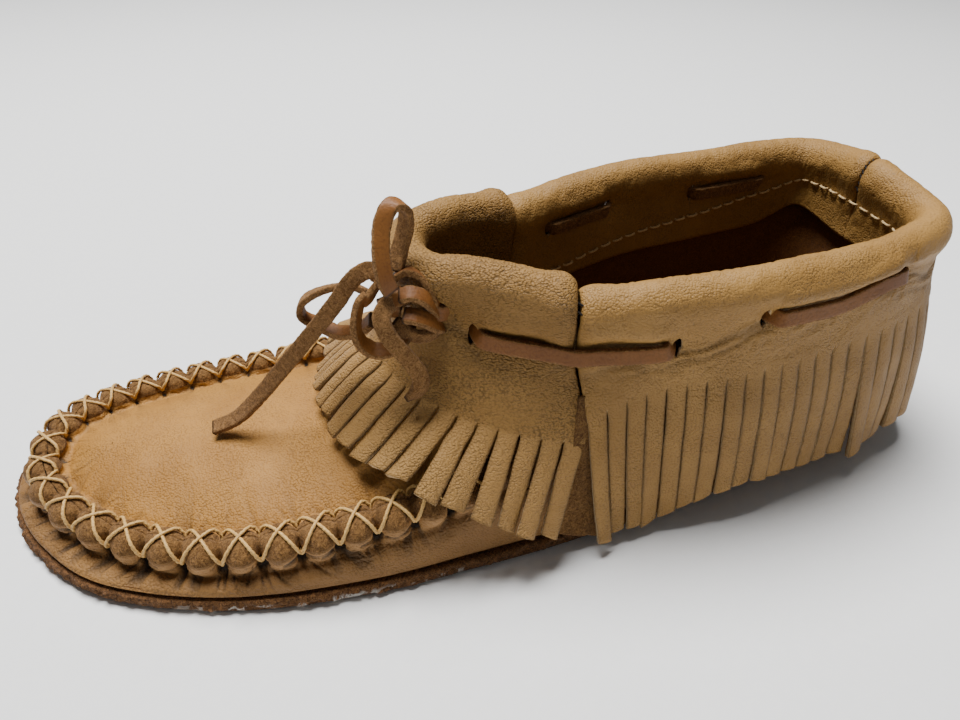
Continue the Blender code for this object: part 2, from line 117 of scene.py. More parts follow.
LOW_LOOP = [
    (-22.6, -15, 72, 0.8, -0.5, -0.3), (-25.2, -15.6, 69.6, 0.8, -0.5, -0.3),
    (-27.4, -16.4, 67.2, 0.8, -0.6, -0.2), (-29.3, -17, 66.6, 0.7, -0.6, -0.3),
    (-30.8, -18, 62, 0.9, -0.5, 0), (-30.4, -18.4, 57.5, 0.9, -0.5, 0.3),
    (-27.2, -18.6, 54.4, 0.3, -0.6, 0.8), (-23, -19.2, 55.2, -0.2, -0.6, 0.8),
    (-20.4, -18.4, 57.6, -0.4, -0.6, 0.7), (-18.8, -16.6, 60.4, -0.5, -0.6, 0.6),
]
LONG_TAIL = [
    (-23.4, -13.6, 70, 0.2, 0.5, -1), (-26, -12.8, 72.2, 0.3, 0.9, -0.5),
    (-30, -12, 69.6, 0.3, 0.9, -0.4), (-35, -10.8, 62.2, 0.4, 0.9, -0.3),
    (-43, -8.6, 51.2, 0.3, 0.9, -0.4), (-50, -6.6, 41.6, 0.3, 0.8, -0.6),
    (-56, -5, 33.6, 0.3, 0.7, -0.8), (-62, -3.6, 26.8, 0.3, 0.6, -1), (-68.5, -2.6, 23, 0.2, 0.4, -1),
]
SHORT_TAIL = [
    (-21.2, -17, 65.6, 0.3, 0.6, -0.6), (-23.2, -18.8, 66.6, 0.3, 0.8, -0.4),
    (-24.8, -20.4, 66, 0.3, 0.9, 0), (-25.6, -21.8, 63.8, 0.3, 1, -0.1),
    (-24, -22.8, 59.6, 0.2, 1, -0.2), (-20.6, -23.8, 54.6, 0.2, 1, -0.3),
    (-18.2, -24, 49.8, 0.1, 1, -0.2), (-18.6, -24, 46, -0.2, 1, 0.1),
    (-21, -23.8, 43.4, -0.6, 0.8, 0.5),
]
# The knot: bands that pass round it and on towards the front cuff's near hole, and two turns about its core.
KNOT = (-21.6, -15.6, 65.2)
KNOT_BANDS = [
    [(-20.6, -12.5, 69.5, 0.2, 0.1, 1), (-18, -13, 71.2, 0.1, 0.1, 1), (-15.3, -14.6, 70.8, 0.5, 0, 1),
     (-13.4, -16, 68, 0.9, -0.2, 0.5), (-12.4, -16.8, 65, 0.9, -0.4, 0.3),
     (-12.2, -16.4, 62.6, 0.8, -0.5, 0)],
    [(-20.6, -17.6, 67.6, 0.1, -0.5, 1), (-18.2, -18.4, 68.4, 0.1, -0.5, 1),
     (-15.4, -18.6, 67.2, 0.4, -0.6, 0.8), (-13.2, -18, 64.6, 0.6, -0.7, 0.5),
     (-11.6, -16.6, 61.6, 0.6, -0.7, 0.4)],
    [(-20.2, -19.4, 63.6, 0, -0.6, 0.8), (-18, -20.4, 63.6, 0.1, -0.6, 0.8),
     (-15.4, -20.2, 62.2, 0.2, -0.6, 0.8), (-13.2, -19, 60, 0.3, -0.6, 0.7),
     (-11.2, -16.8, 58, 0.3, -0.6, 0.7)],
    [(-22.6, -18.4, 61.6, 0.2, 0.8, -0.5), (-19.8, -19.8, 59.2, 0.1, 0.8, 0.4),
     (-16.8, -20, 57.8, 0, 0.8, 0.4), (-14.2, -19, 57.2, -0.1, 0.8, 0.4), (-12, -17.2, 57, -0.1, 0.8, 0.3)],
]
KNOT_TURNS = [((0.3, 0.9, 0.3), (0, -0.3, 0.95)), ((0.95, 0.2, 0.1), (0.1, -0.8, 0.6))]

# Camera, in the last's plan before the frame's shift, millimetres and degrees.
CAMERA_AT = (-45.085, -159.018, 152.902)
CAMERA_PAN, CAMERA_TILT, CAMERA_ROLL, CAMERA_LENS = 16.829, 35.442, 0.492, 28.125
LIGHTS_AIM = (0, 0, 0.03)


# ---------------------------------------------------------------- curves and grids

def smooth(table, at, closed=False):
    """Rows on the Catmull-Rom curve through a table, read at these row numbers."""
    table, at = np.array(table, float), np.asarray(at, float)
    count = len(table)
    k = np.minimum(at.astype(int), (count if closed else count - 1) - 1)
    t = (at - k)[:, None]
    picks = [(k + d) % count if closed else np.clip(k + d, 0, count - 1) for d in (-1, 0, 1, 2)]
    a, b, c, d = (table[p] for p in picks)
    square, cube = 2 * a - 5 * b + 4 * c - d, 3 * b - a - 3 * c + d
    return 0.5 * (2 * b + (c - a) * t + square * t ** 2 + cube * t ** 3)


def mirrored(table, w_columns, at_start):
    """A half table made whole across the centre line; the near side has negative w."""
    far = np.array(table, float)
    near = far.copy()
    near[:, list(w_columns)] *= -1
    return np.vstack([far[:0:-1], near]) if at_start else np.vstack([near, far[-2::-1]])


def whole_loop(table):
    """A half table made whole as a closed loop, without its last row, which repeats the first."""
    return mirrored(table, (1,), False)[:-1]


def reach_of(rows):
    """The length in plan up to each row."""
    steps = np.hypot(*np.diff(rows[:, :2], axis=0).T)
    return np.concatenate([[0], np.cumsum(steps)])


def bow(x):
    return BOW * ((x - BOW_START) / HALF_LENGTH) ** 2


def outline_low():
    """The sole outline's lowest x and y, which the frame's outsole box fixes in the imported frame."""
    rows = smooth(whole_loop(SOLE), np.arange(2 * (len(SOLE) - 1) * 4) / 4, True)
    return np.array([rows[:, 0].min(), (bow(rows[:, 0]) + rows[:, 1]).min(), 0])


SHIFT = outline_low() - np.array(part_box("outsole")[0]) / MM * (1, 1, 0)


def place(points):
    """Points (x, w, z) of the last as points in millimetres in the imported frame."""
    points = np.asarray(points, float)
    x, w, z = points[..., 0], points[..., 1], points[..., 2]
    return np.stack([x, bow(x) + w, z], axis=-1) - SHIFT


class Run:
    """A curve through table rows, read by its length in plan."""

    def __init__(self, rows, behind=False, steps=24):
        self.behind = behind
        self.rows = smooth(rows, np.arange((len(rows) - 1) * steps + 1) / steps)
        self.reach = reach_of(self.rows)
        self.length = self.reach[-1]

    def at(self, s):
        return np.stack([np.interp(s, self.reach, column) for column in self.rows.T], axis=-1)

    def outward(self, s):
        a, b = self.at(np.clip(s - 0.5, 0, self.length)), self.at(np.clip(s + 0.5, 0, self.length))
        dx, dw = (b - a)[..., 0], (b - a)[..., 1]
        return np.stack([dw, -dx], axis=-1) / np.hypot(dx, dw)[..., None]

    def beside(self, s, offset, z):
        """Points at this offset outward from the run, at height z."""
        spot, out = self.at(s), self.outward(s)
        return np.stack([spot[..., 0] + out[..., 0] * offset, spot[..., 1] + out[..., 1] * offset,
                         z + 0 * spot[..., 0]], axis=-1)


def across(control, counts):
    """Smooth columns through the control points (stations, points, 3), with these many steps in each span."""
    gaps = np.sqrt(np.linalg.norm(np.diff(control, axis=1), axis=2)).mean(0) + 1e-6
    rates = np.diff(control, axis=1) / gaps[None, :, None]
    inner = rates[:, :-1] * gaps[1:, None] + rates[:, 1:] * gaps[:-1, None]
    inner = inner / (gaps[:-1] + gaps[1:])[:, None]
    slopes = np.concatenate([rates[:, :1], inner, rates[:, -1:]], axis=1)
    parts = []
    for k, count in enumerate(counts):
        t = (np.arange(count) / count)[None, :, None]
        a, b = control[:, k:k + 1], control[:, k + 1:k + 2]
        ma, mb = slopes[:, k:k + 1] * gaps[k], slopes[:, k + 1:k + 2] * gaps[k]
        parts.append(a * (2 * t ** 3 - 3 * t ** 2 + 1) + ma * (t ** 3 - 2 * t ** 2 + t)
                     + b * (3 * t ** 2 - 2 * t ** 3) + mb * (t ** 3 - t ** 2))
    return np.concatenate([*parts, control[:, -1:]], axis=1)


def unit(vectors):
    return vectors / np.maximum(np.linalg.norm(vectors, axis=-1, keepdims=True), 1e-9)


def normals(grid, closed=False):
    """Unit normals of a grid of points; closed grids repeat their first station at the end."""
    if closed:
        ahead = np.concatenate([grid[1:], grid[1:2]])
        behind = np.concatenate([grid[-2:-1], grid[:-1]])
        du = ahead - behind
    else:
        du = np.gradient(grid, axis=0)
    return unit(np.cross(du, np.gradient(grid, axis=1)))


def step(low, high, x):
    t = np.clip((x - low) / (high - low), 0, 1)
    return t * t * (3 - 2 * t)


def corner_values(cell, seed):
    """A repeatable value from -1 to 1 for each cell corner, mixed from its whole coordinates and the seed."""
    c = cell.astype(np.uint64)
    word = np.uint64(0xFFFFFFFF)
    h = c[..., 0] * np.uint64(374761393) + c[..., 1] * np.uint64(668265263)
    h = (h + c[..., 2] * np.uint64(2246822519) + np.uint64(seed)) & word
    h = ((h ^ (h >> np.uint64(15))) * np.uint64(2654435761)) & word
    h = ((h ^ (h >> np.uint64(13))) * np.uint64(1274126177)) & word
    return (h >> np.uint64(8)).astype(float) / 2 ** 23 - 1


def lumps(points, size, seed, octaves=1):
    """Smooth noise from -1 to 1 over points in millimetres, whose lumps have this size."""
    total, weight, scale = 0.0, 0.0, 1.0
    for octave in range(octaves):
        p = np.asarray(points, float) / size * 2 ** octave + 311.7
        cell = np.floor(p).astype(np.int64)
        f = p - cell
        f = f ** 3 * (f * (f * 6 - 15) + 10)
        value = 0.0
        for corner in range(8):
            bits = np.array([corner & 1, corner >> 1 & 1, corner >> 2 & 1])
            share = np.prod(np.where(bits, f, 1 - f), axis=-1)
            value = value + share * corner_values(cell + bits, seed * 3266489917 + octave)
        total = total + value * scale
        weight += scale
        scale *= 0.5
    return total / weight


# ---------------------------------------------------------------- meshes

def finish_piece(made, body, nodes=()):
    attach(made, body)
    if nodes:
        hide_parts(*nodes)
    return made


def build(name, blocks, paints):
    """One mesh from blocks (grid of points in millimetres, face zones or 0, {attribute: values})."""
    points, quads, zones, values, start = [], [], [], {}, 0
    for grid, zone, layers in blocks:
        s, t = grid.shape[:2]
        points.append(grid.reshape(-1, 3))
        index = start + np.arange(s * t).reshape(s, t)
        corners = [index[:-1, :-1], index[1:, :-1], index[1:, 1:], index[:-1, 1:]]
        quads.append(np.stack(corners, -1).reshape(-1, 4))
        zones.append(np.broadcast_to(np.asarray(zone), (s - 1, t - 1)).reshape(-1))
        for key, layer in layers.items():
            values.setdefault(key, []).append(np.broadcast_to(layer, (s, t)).reshape(-1))
        start += s * t
    points, quads, zones = np.vstack(points), np.vstack(quads), np.concatenate(zones)
    cells = np.round(points / WELD).astype(np.int64)
    _, first, index = np.unique(cells, axis=0, return_index=True, return_inverse=True)
    quads = index.reshape(-1)[quads]
    faces, kept = [], []
    for quad, zone in zip(quads.tolist(), zones.tolist()):
        corners = [v for i, v in enumerate(quad) if v != quad[i - 1]]
        if len(set(corners)) == len(corners) > 2:
            faces.append(corners)
            kept.append(zone)
    mesh = bpy.data.meshes.new(name)
    mesh.from_pydata((points[first] * MM).tolist(), [], faces)
    mesh.polygons.foreach_set("material_index", kept)
    for key, parts in values.items():
        layer = mesh.attributes.new(key, "FLOAT", "POINT")
        layer.data.foreach_set("value", np.concatenate(parts)[first].astype(np.float32))
    mesh.shade_smooth()
    for paint in paints:
        mesh.materials.append(paint)
    made = bpy.data.objects.new(name, mesh)
    bpy.context.scene.collection.objects.link(made)
    return made


def thicken(made, thick, rim=2):
    solid = made.modifiers.new("Thickness", "SOLIDIFY")
    solid.thickness = thick * MM
    solid.offset = -1
    solid.material_offset = 1
    solid.material_offset_rim = rim
    return made


def ring_sweep(centre, side, up, shape):
    """A grid of rings (points, ring, 3) round a centre line; shape is (ring, 2) in millimetres."""
    return centre[:, None] + side[:, None] * shape[None, :, :1] + up[:, None] * shape[None, :, 1:]


def capped(rings):
    """The rings closed round and with both ends drawn in to a point."""
    rings = np.concatenate([rings, rings[:, :1]], axis=1)
    ends = [np.broadcast_to(rings[i, :-1].mean(0), rings[i].shape)[None] for i in (0, -1)]
    return np.concatenate([ends[0], rings, ends[1]])


def cord_rings(route, radius, sides=8, lobes=0.0, twist=0.0):
    """A round or two-ply cord along a route in millimetres."""
    tangent = unit(np.gradient(route, axis=0))
    side = unit(np.cross(tangent, [0.31, 0.17, 0.93]))
    up = np.cross(side, tangent)
    turn = np.linspace(0, 2 * math.pi, sides, endpoint=False)
    phase = reach3(route) * twist
    size = radius * (1 + lobes * np.cos(2 * (turn[None] - phase[:, None])))
    rings = (route[:, None] + side[:, None] * (size * np.cos(turn))[..., None]
             + up[:, None] * (size * np.sin(turn))[..., None])
    return capped(rings)


def reach3(route):
    return np.concatenate([[0], np.cumsum(np.linalg.norm(np.diff(route, axis=0), axis=1))])


# ---------------------------------------------------------------- materials

def node(tree, kind, inputs=None, **settings):
    made = tree.nodes.new("ShaderNode" + kind)
    for key, value in settings.items():
        setattr(made, key, value)
    for key, value in (inputs or {}).items():
        socket = made.inputs[key]
        if isinstance(value, bpy.types.NodeSocket):
            tree.links.new(value, socket)
        else:
            socket.default_value = value
    return made


def colour_mix(tree, share, a, b, blend="MIX"):
    """a and b, each a colour or a socket, mixed by share."""
    made = node(tree, "Mix", data_type="RGBA", blend_type=blend)
    for socket, value in ((made.inputs[0], share), (made.inputs[6], a), (made.inputs[7], b)):
        if isinstance(value, bpy.types.NodeSocket):
            tree.links.new(value, socket)
        elif isinstance(value, tuple):
            socket.default_value = (*value, 1)
        else:
            socket.default_value = value
    return made.outputs[2]


def maths(tree, operation, a, b=0.0, c=0.0):
    made = node(tree, "Math", {0: a, 1: b, 2: c}, operation=operation)
    return made.outputs[0]


def ranged(tree, value, low, high, to_low=0.0, to_high=1.0):
    made = node(tree, "MapRange", {"Value": value, "From Min": low, "From Max": high, "To Min": to_low,
                                   "To Max": to_high}, interpolation_type="SMOOTHSTEP")
    return made.outputs["Result"]


def noise(tree, where, size, detail=3.0, rough=0.55, distortion=0.0):
    """Noise whose lumps are this many millimetres across."""
    made = node(tree, "TexNoise", {"Vector": where, "Scale": 1 / (size * MM), "Detail": detail,
                                   "Roughness": rough, "Distortion": distortion})
    return made.outputs["Fac"]


def material(name, roughness, specular=0.5, sheen=0.0):
    """A material with its tree, its shader and the point's place on the object."""
    made = bpy.data.materials.new(name)
    made.use_nodes = True
    tree = made.node_tree
    shader = tree.nodes["Principled BSDF"]
    shader.inputs["Roughness"].default_value = roughness
    shader.inputs["Specular IOR Level"].default_value = specular
    shader.inputs["Sheen Weight"].default_value = sheen
    shader.inputs["Sheen Roughness"].default_value = 0.5
    where = node(tree, "TexCoord").outputs["Object"]
    return made, tree, shader, where


def bumped(tree, shader, height, depth):
    """Bump of this depth in millimetres from a height from 0 to 1."""
    bump = node(tree, "Bump", {"Height": height, "Distance": depth * MM, "Strength": 1.0})
    tree.links.new(bump.outputs["Normal"], shader.inputs["Normal"])


def attribute(tree, name):
    return node(tree, "Attribute", attribute_name=name).outputs["Fac"]


def leather(name, pale, deep, cell, depth, pores, roughness, stretch=(1, 1, 1)):
    """Grain leather: domed pebbles of this size with dark creases between them, pores and cloudy colour."""
    made, tree, shader, where = material(name, roughness, 0.3)
    warp = node(tree, "Mapping", {"Vector": where, "Scale": stretch}).outputs["Vector"]
    drift = node(tree, "TexNoise", {"Vector": warp, "Scale": 1 / (cell * 2.2 * MM), "Detail": 2.0})
    warped = node(tree, "VectorMath", {0: drift.outputs["Color"], 1: (cell * MM * 0.7,) * 3},
                  operation="MULTIPLY")
    moved = node(tree, "VectorMath", {0: warp, 1: warped.outputs[0]}, operation="ADD").outputs[0]
    cells = node(tree, "TexVoronoi", {"Vector": moved, "Scale": 1 / (cell * MM), "Randomness": 1.0})
    crease = ranged(tree, cells.outputs["Distance"], 0.30, 0.95)
    strength = ranged(tree, noise(tree, where, 12.0, 3.0), 0.3, 0.65, 0.45, 1.0)
    crease = maths(tree, "MULTIPLY", crease, strength)
    fine = noise(tree, where, 0.4, 3.0, 0.7)
    dots = ranged(tree, noise(tree, where, 0.8, 1.0), 0.64, 0.74)
    cloud = ranged(tree, noise(tree, where, 22.0, 4.0, 0.6), 0.3, 0.7)
    colour = colour_mix(tree, cloud, deep, pale)
    dark = tuple(v * 0.22 for v in deep)
    colour = colour_mix(tree, maths(tree, "MULTIPLY", crease, pores), colour, dark)
    colour = colour_mix(tree, maths(tree, "MULTIPLY", dots, pores * 0.5), colour, dark)
    colour = colour_mix(tree, maths(tree, "MULTIPLY", fine, 0.5), colour, deep)
    # Paler where the wear-and-light attribute is set: real wear on the lobes below the ridge's cords and a
    # little over the wall, and painted light on the front fringe's upturned strands.
    colour = colour_mix(tree, attribute(tree, "worn"), colour, tuple(min(v * 1.25 + 0.02, 1) for v in pale))
    colour = colour_mix(tree, attribute(tree, "shade"), colour, (0.028, 0.019, 0.012))
    tree.links.new(colour, shader.inputs["Base Color"])
    height = maths(tree, "MULTIPLY_ADD", crease, -1.0, maths(tree, "MULTIPLY", fine, 0.3))
    height = maths(tree, "MULTIPLY_ADD", dots, -0.4, height)
    bumped(tree, shader, height, depth)
    return made


def fibre_tone(tree, fuzz, patch, low, high, fuzz_share, patch_share):
    """How pale the fibres are: mostly by the fuzz, partly by the patch."""
    patchy = maths(tree, "MULTIPLY", patch, patch_share)
    return maths(tree, "MULTIPLY_ADD", ranged(tree, fuzz, low, high), fuzz_share, patchy)


def suede(name, pale, deep, fibre=0.55, depth=0.5, roughness=0.95):
    """Fuzzy flesh side: short matted fibres, patchy in tone."""
    made, tree, shader, where = material(name, roughness, 0.12, 0.05)
    fuzz = noise(tree, where, fibre, 4.0, 0.75, 1.2)
    patch = noise(tree, where, 5.5, 3.0, 0.65)
    tone = fibre_tone(tree, fuzz, patch, 0.35, 0.68, 0.75, 0.3)
    colour = colour_mix(tree, tone, deep, pale)
    colour = colour_mix(tree, attribute(tree, "shade"), colour, tuple(v * 0.25 for v in deep))
    tree.links.new(colour, shader.inputs["Base Color"])
    bumped(tree, shader, fuzz, depth)
    return made


def thread_paint(name, pale, deep, roughness=0.55):
    made, tree, shader, where = material(name, roughness, 0.4)
    fibres = noise(tree, where, 0.35, 3.0, 0.6, 0.6)
    colour = colour_mix(tree, ranged(tree, fibres, 0.3, 0.7), deep, pale)
    colour = colour_mix(tree, attribute(tree, "shade"), colour, tuple(v * 0.3 for v in deep))
    tree.links.new(colour, shader.inputs["Base Color"])
    bumped(tree, shader, fibres, 0.12)
    return made


def outsole_paint():
    """Dark matted leather fibre with dried pale glue along the lower edge."""
    made, tree, shader, where = material("outsole_edge", 0.95, 0.12, 0.05)
    fuzz = noise(tree, where, 0.8, 4.0, 0.75, 1.5)
    patch = noise(tree, where, 3.5, 3.0, 0.65)
    tone = fibre_tone(tree, fuzz, patch, 0.36, 0.66, 0.8, 0.25)
    colour = colour_mix(tree, tone, (0.02, 0.008, 0.003), (0.27, 0.125, 0.045))
    smear = ranged(tree, noise(tree, where, 6.0, 5.0, 0.7, 1.0), 0.52, 0.6)
    glue = maths(tree, "MULTIPLY", smear, attribute(tree, "glue"))
    colour = colour_mix(tree, glue, colour, (0.62, 0.58, 0.52))
    tree.links.new(colour, shader.inputs["Base Color"])
    bumped(tree, shader, fuzz, 0.6)
    return made


def paints():
    """Every material: leathers by cell, depth, pores and roughness, and suedes by fibre size and depth."""
    return {
        # The wall's grain is darker than the plug's: painted shade on the wall, which faces away from the
        # overhead light.
        "wall": leather("wall_grain_painted_shade", (0.29, 0.145, 0.04), (0.18, 0.085, 0.022), 0.6, 0.2, 0.4, 0.62),
        "plug": leather("plug_grain", (0.44, 0.215, 0.045), (0.33, 0.152, 0.03), 0.55, 0.15, 0.45, 0.6),
        "front": leather("front_cuff_grain", (0.33, 0.178, 0.046), (0.23, 0.118, 0.028),
                         0.52, 0.26, 0.75, 0.6, (0.85, 0.85, 1.25)),
        "rear": leather("rear_cuff_grain", (0.385, 0.212, 0.058), (0.28, 0.147, 0.036),
                        0.52, 0.15, 0.45, 0.58),
        "flesh": suede("flesh_side", (0.235, 0.095, 0.024), (0.08, 0.028, 0.007)),
        "ridge": suede("ridge_suede", (0.36, 0.185, 0.06), (0.06, 0.024, 0.006), 0.7, 0.7),
        "cut": suede("cut_edge", (0.80, 0.60, 0.34), (0.34, 0.19, 0.075), 0.4, 0.2),
        "thong": leather("thong_grain", (0.25, 0.098, 0.020), (0.165, 0.058, 0.011), 0.6, 0.05, 0.4, 0.55),
        "thong_flesh": suede("thong_suede", (0.37, 0.195, 0.072), (0.085, 0.036, 0.011), 0.7, 0.5),
        "waxed": thread_paint("waxed_cord", (0.72, 0.46, 0.16), (0.42, 0.23, 0.065)),
        "hem": thread_paint("hem_thread", (0.80, 0.6, 0.32), (0.5, 0.32, 0.13)),
        "dark": thread_paint("dark_thread", (0.02, 0.013, 0.01), (0.006, 0.004, 0.003), 0.9),
        "outsole": outsole_paint(),
    }


# ---------------------------------------------------------------- outsole, bottom, plug

def make_outsole(paint):
    """The sole leather's slab, with a rough, slightly bulging edge."""
    dense = smooth(whole_loop(SOLE), np.arange(2 * (len(SOLE) - 1) * 40) / 40, True)
    dense = np.vstack([dense, dense[:1]])
    reach = reach_of(dense)
    s = np.linspace(0, reach[-1], 1300)
    edge = np.stack([np.interp(s, reach, column) for column in dense.T], -1)
    # Share of the way out to the edge, and height, from the underside's middle round to the top's.
    heights = [(0.0, 0.0), (0.35, 0.0), (0.7, 0.0), (0.9, 0.0), (0.975, 0.02), (0.997, 0.25), (1.0, 0.9),
               (1.0, 2.0), (1.0, 3.1), (0.997, 3.75), (0.975, 3.98), (0.9, 4.0), (0.7, 4.0), (0.35, 4.0),
               (0.0, 4.0)]
    control = np.stack([np.stack([edge[:, 0] * q, edge[:, 1] * q, 0 * s + z], -1) for q, z in heights], 1)
    grid = place(across(control, [2, 2, 2, 2, 2, 3, 4, 4, 3, 2, 2, 2, 2, 2]))
    out = normals(grid, True)
    on_edge = (1 - np.abs(out[..., 2])) * step(0.4, 1.6, grid[..., 2])
    rough = lumps(grid, 1.3, 3, 3) * 0.9 + lumps(grid, 5.0, 4) * 0.4 + 0.5
    grid = grid + out * (rough * on_edge)[..., None]
    along = grid[..., 0] + SHIFT[0]
    glue = step(-95, -60, along) * (1 - step(-25, 0, along)) * (1 - step(1.6, 3.0, grid[..., 2]))
    made = build("outsole_edge", [(grid, 0, {"glue": glue, "shade": 0.0})], [paint["outsole"]])
    return finish_piece(made, "shoe", ["outsole"])


def wall_tops():
    """Half of the line along the wall's top: the ridge, then the hidden edge inside the rear cuffs."""
    rear = [(x, w - 0.6, z) for (x, w, *_), z in zip(REAR_CUFF, REAR_WALL)]
    return RIDGE + rear[:-1] + [(rear[-1][0] - 0.6, 0, rear[-1][2])]


def laced_line():
    """Half of the line that the plug is laced along: the ridge and the first row behind it."""
    return np.array(RIDGE + [wall_tops()[len(RIDGE)]], float)


def laced_run():
    return Run(mirrored(laced_line(), (1,), True))


def stitch_pitch():
    return (laced_run().length - 2 * LACING_ENDS) / STITCHES


def outward_of(ahead, behind):
    """Unit vectors in plan, square to the line from behind to ahead."""
    return unit(np.stack([(ahead - behind)[:, 1], -(ahead - behind)[:, 0]], -1))


def off_line(line, out, offset, rise):
    """Points beside a line: this far outward and this far above it."""
    return np.stack([line[:, 0] + out[:, 0] * offset, line[:, 1] + out[:, 1] * offset, line[:, 2] + rise], -1)


def lobes(d, pitch):
    """Along the ridge: 0 at a hole and 1 between two; length past the nearest hole; 1 where it is laced."""
    phase = d / pitch
    near = phase - np.round(phase)
    held = 1 - step(STITCHES / 2 - 0.5, STITCHES / 2 + 0.3, np.abs(phase))
    lobe = np.abs(np.sin(math.pi * phase)) ** 0.62
    return lobe * held + 0.6 * (1 - held), near * pitch, held


def creases(a, b, hole, depth, reach, seed):
    """Folds that fan out below a hole: a along the ridge and b down from the hole, in millimetres."""
    far = np.hypot(a, b)
    turn = np.arctan2(b, a)
    spot = np.stack([turn * 2.6, hole * 7.3, far * 0.05], -1)
    fold = 1 - np.abs(lumps(spot, 1.0, seed))
    fold = step(0.62, 0.98, fold)
    return -depth * fold * np.exp(-far / reach) * step(0.3, 1.4, far)


def bottom_control(foot, top, out, front, lobe):
    """Control points of each station: the floor, the bulging wall and the ridge's outer half."""
    flat = 0 * lobe

    def ridge_point(offset, rise):
        return off_line(top, out, offset * front + 0.4 * (1 - front), rise)

    shrink = 1 - 1.2 / np.hypot(foot[:, 0], foot[:, 1])
    base = np.stack([foot[:, 0] * shrink, foot[:, 1] * shrink, flat + OUTSOLE_THICK + GAP], -1)
    middle = np.stack([np.clip(base[:, 0], -112, 114), flat, base[:, 2]], -1)
    control = [middle + (base - middle) * q for q in (0, 0.3, 0.6, 0.85, 0.95)]
    control.append(base + np.stack([flat, flat, flat + 0.5], -1))
    waist = ridge_point(3.4 + 1.0 * lobe, -8.4 + flat)
    away = np.concatenate([unit(foot[:, :2]), 0 * foot[:, :1]], -1)
    for q, bulge in ((0.2, 0.5), (0.45, 0.7), (0.75, 0.4)):
        spot = base + (waist - base) * (q ** (1 + 0.9 * front))[:, None] + away * bulge
        spot[:, 2] = base[:, 2] + (waist[:, 2] - base[:, 2]) * q ** (1 - 0.35 * front)
        control.append(spot)
    control.append(waist)
    control.append(ridge_point(2.4 + 3.4 * lobe, -6.6 + flat))
    control.append(ridge_point(1.5 + 4.8 * lobe, -4.6 + 0.3 * lobe))
    control.append(ridge_point(1.2 + 4.4 * lobe, -2.9 + 0.9 * lobe))
    control.append(ridge_point(0.7 + 2.3 * lobe, -1.6 + 1.6 * lobe))
    control.append(ridge_point(0.15 + flat, -1.3 + 1.6 * lobe))
    return np.stack(control, 1)


def make_bottom(paint):
    """Floor, bulging wall and the ridge's outer half, gathered into a lobe at each stitch."""
    feet, tops = whole_loop(SOLE), whole_loop(wall_tops())
    count = len(tops)
    numbers = np.arange(count * 40 + 1) / 40
    reach = reach_of(smooth(tops, numbers % count, True))
    total = reach[-1]
    s = np.linspace(0, total, 2 * round(total / 0.9) + 1)
    u = np.interp(s, reach, numbers) % count
    top = smooth(tops, u, True)
    ahead, behind = smooth(tops, (u + 0.04) % count, True), smooth(tops, (u - 0.04) % count, True)
    d = np.where(s > total / 2, s - total, s)
    pitch = stitch_pitch()
    lobe, a, held = lobes(d, pitch)
    front = 1 - step(18, 40, top[:, 0])
    control = bottom_control(smooth(feet, u, True), top, outward_of(ahead, behind), front, lobe)
    counts = [3, 3, 3, 3, 2, 8, 9, 8, 7, 7, 5, 5, 4, 3]
    grid = across(control, counts)
    column = np.arange(grid.shape[1])
    rim = sum(counts[:-3])
    b = (top[:, 2:3] - HOLE_DROP - grid[..., 2]) / WALL_STEEP
    aa = np.broadcast_to(a[:, None], b.shape)
    hole = np.broadcast_to(np.round(d / pitch)[:, None], b.shape)
    grid = place(grid)
    wall = step(OUTSOLE_THICK + 0.6, OUTSOLE_THICK + 3, grid[..., 2]) * (column <= rim)
    held = held[:, None] * wall
    below = step(-2.2, -0.2, b)
    folds = creases(aa, b, hole, 1.0, 5.5, 21) * held * below
    arcs = np.abs(np.sin((b + 0.5 * lumps(grid, 3.0, 14)) * 3.3)) ** 3
    arcs = arcs * held * (1 - below) * step(-2.6, -1.8, b) * step(0.8, 2.0, np.abs(aa))
    pit = np.exp(-(aa / 0.75) ** 2 - ((b - 1.0) / 2.4) ** 2) * held
    bump = lumps(grid, 9.0, 11) * 0.35 * wall + lumps(grid, 2.6, 12) * 0.1 * wall
    bump = bump + folds - 0.2 * arcs - 1.5 * pit
    suede_lumps = lumps(grid, 1.1, 15, 2) * 0.28 * (column > rim + 2)
    grid = grid + normals(grid, True) * (bump + suede_lumps)[..., None]
    zones = np.zeros((grid.shape[0] - 1, grid.shape[1] - 1), int)
    zones[:, rim + 2:] = 3
    shade = 0.97 * step(0.2, 0.7, pit) + 0.85 * step(0.08, 0.6, 0.45 * arcs - folds)
    near_sole = 1 - step(0.2, 0.9, grid[..., 2] - OUTSOLE_THICK)
    shade = np.maximum(np.clip(shade, 0, 1), 0.9 * near_sole)
    worn = 0.7 * held * (1 - step(-2.0, 2.5, b)) + 0.15 * wall
    made = build("bottom_leather", [(grid, zones, {"shade": shade, "worn": worn})],
                 [paint[key] for key in ("wall", "flesh", "ridge", "ridge", "flesh", "ridge")])
    thicken(made, 0.5 * LEATHER)
    return finish_piece(made, "shoe", ["bottom"])


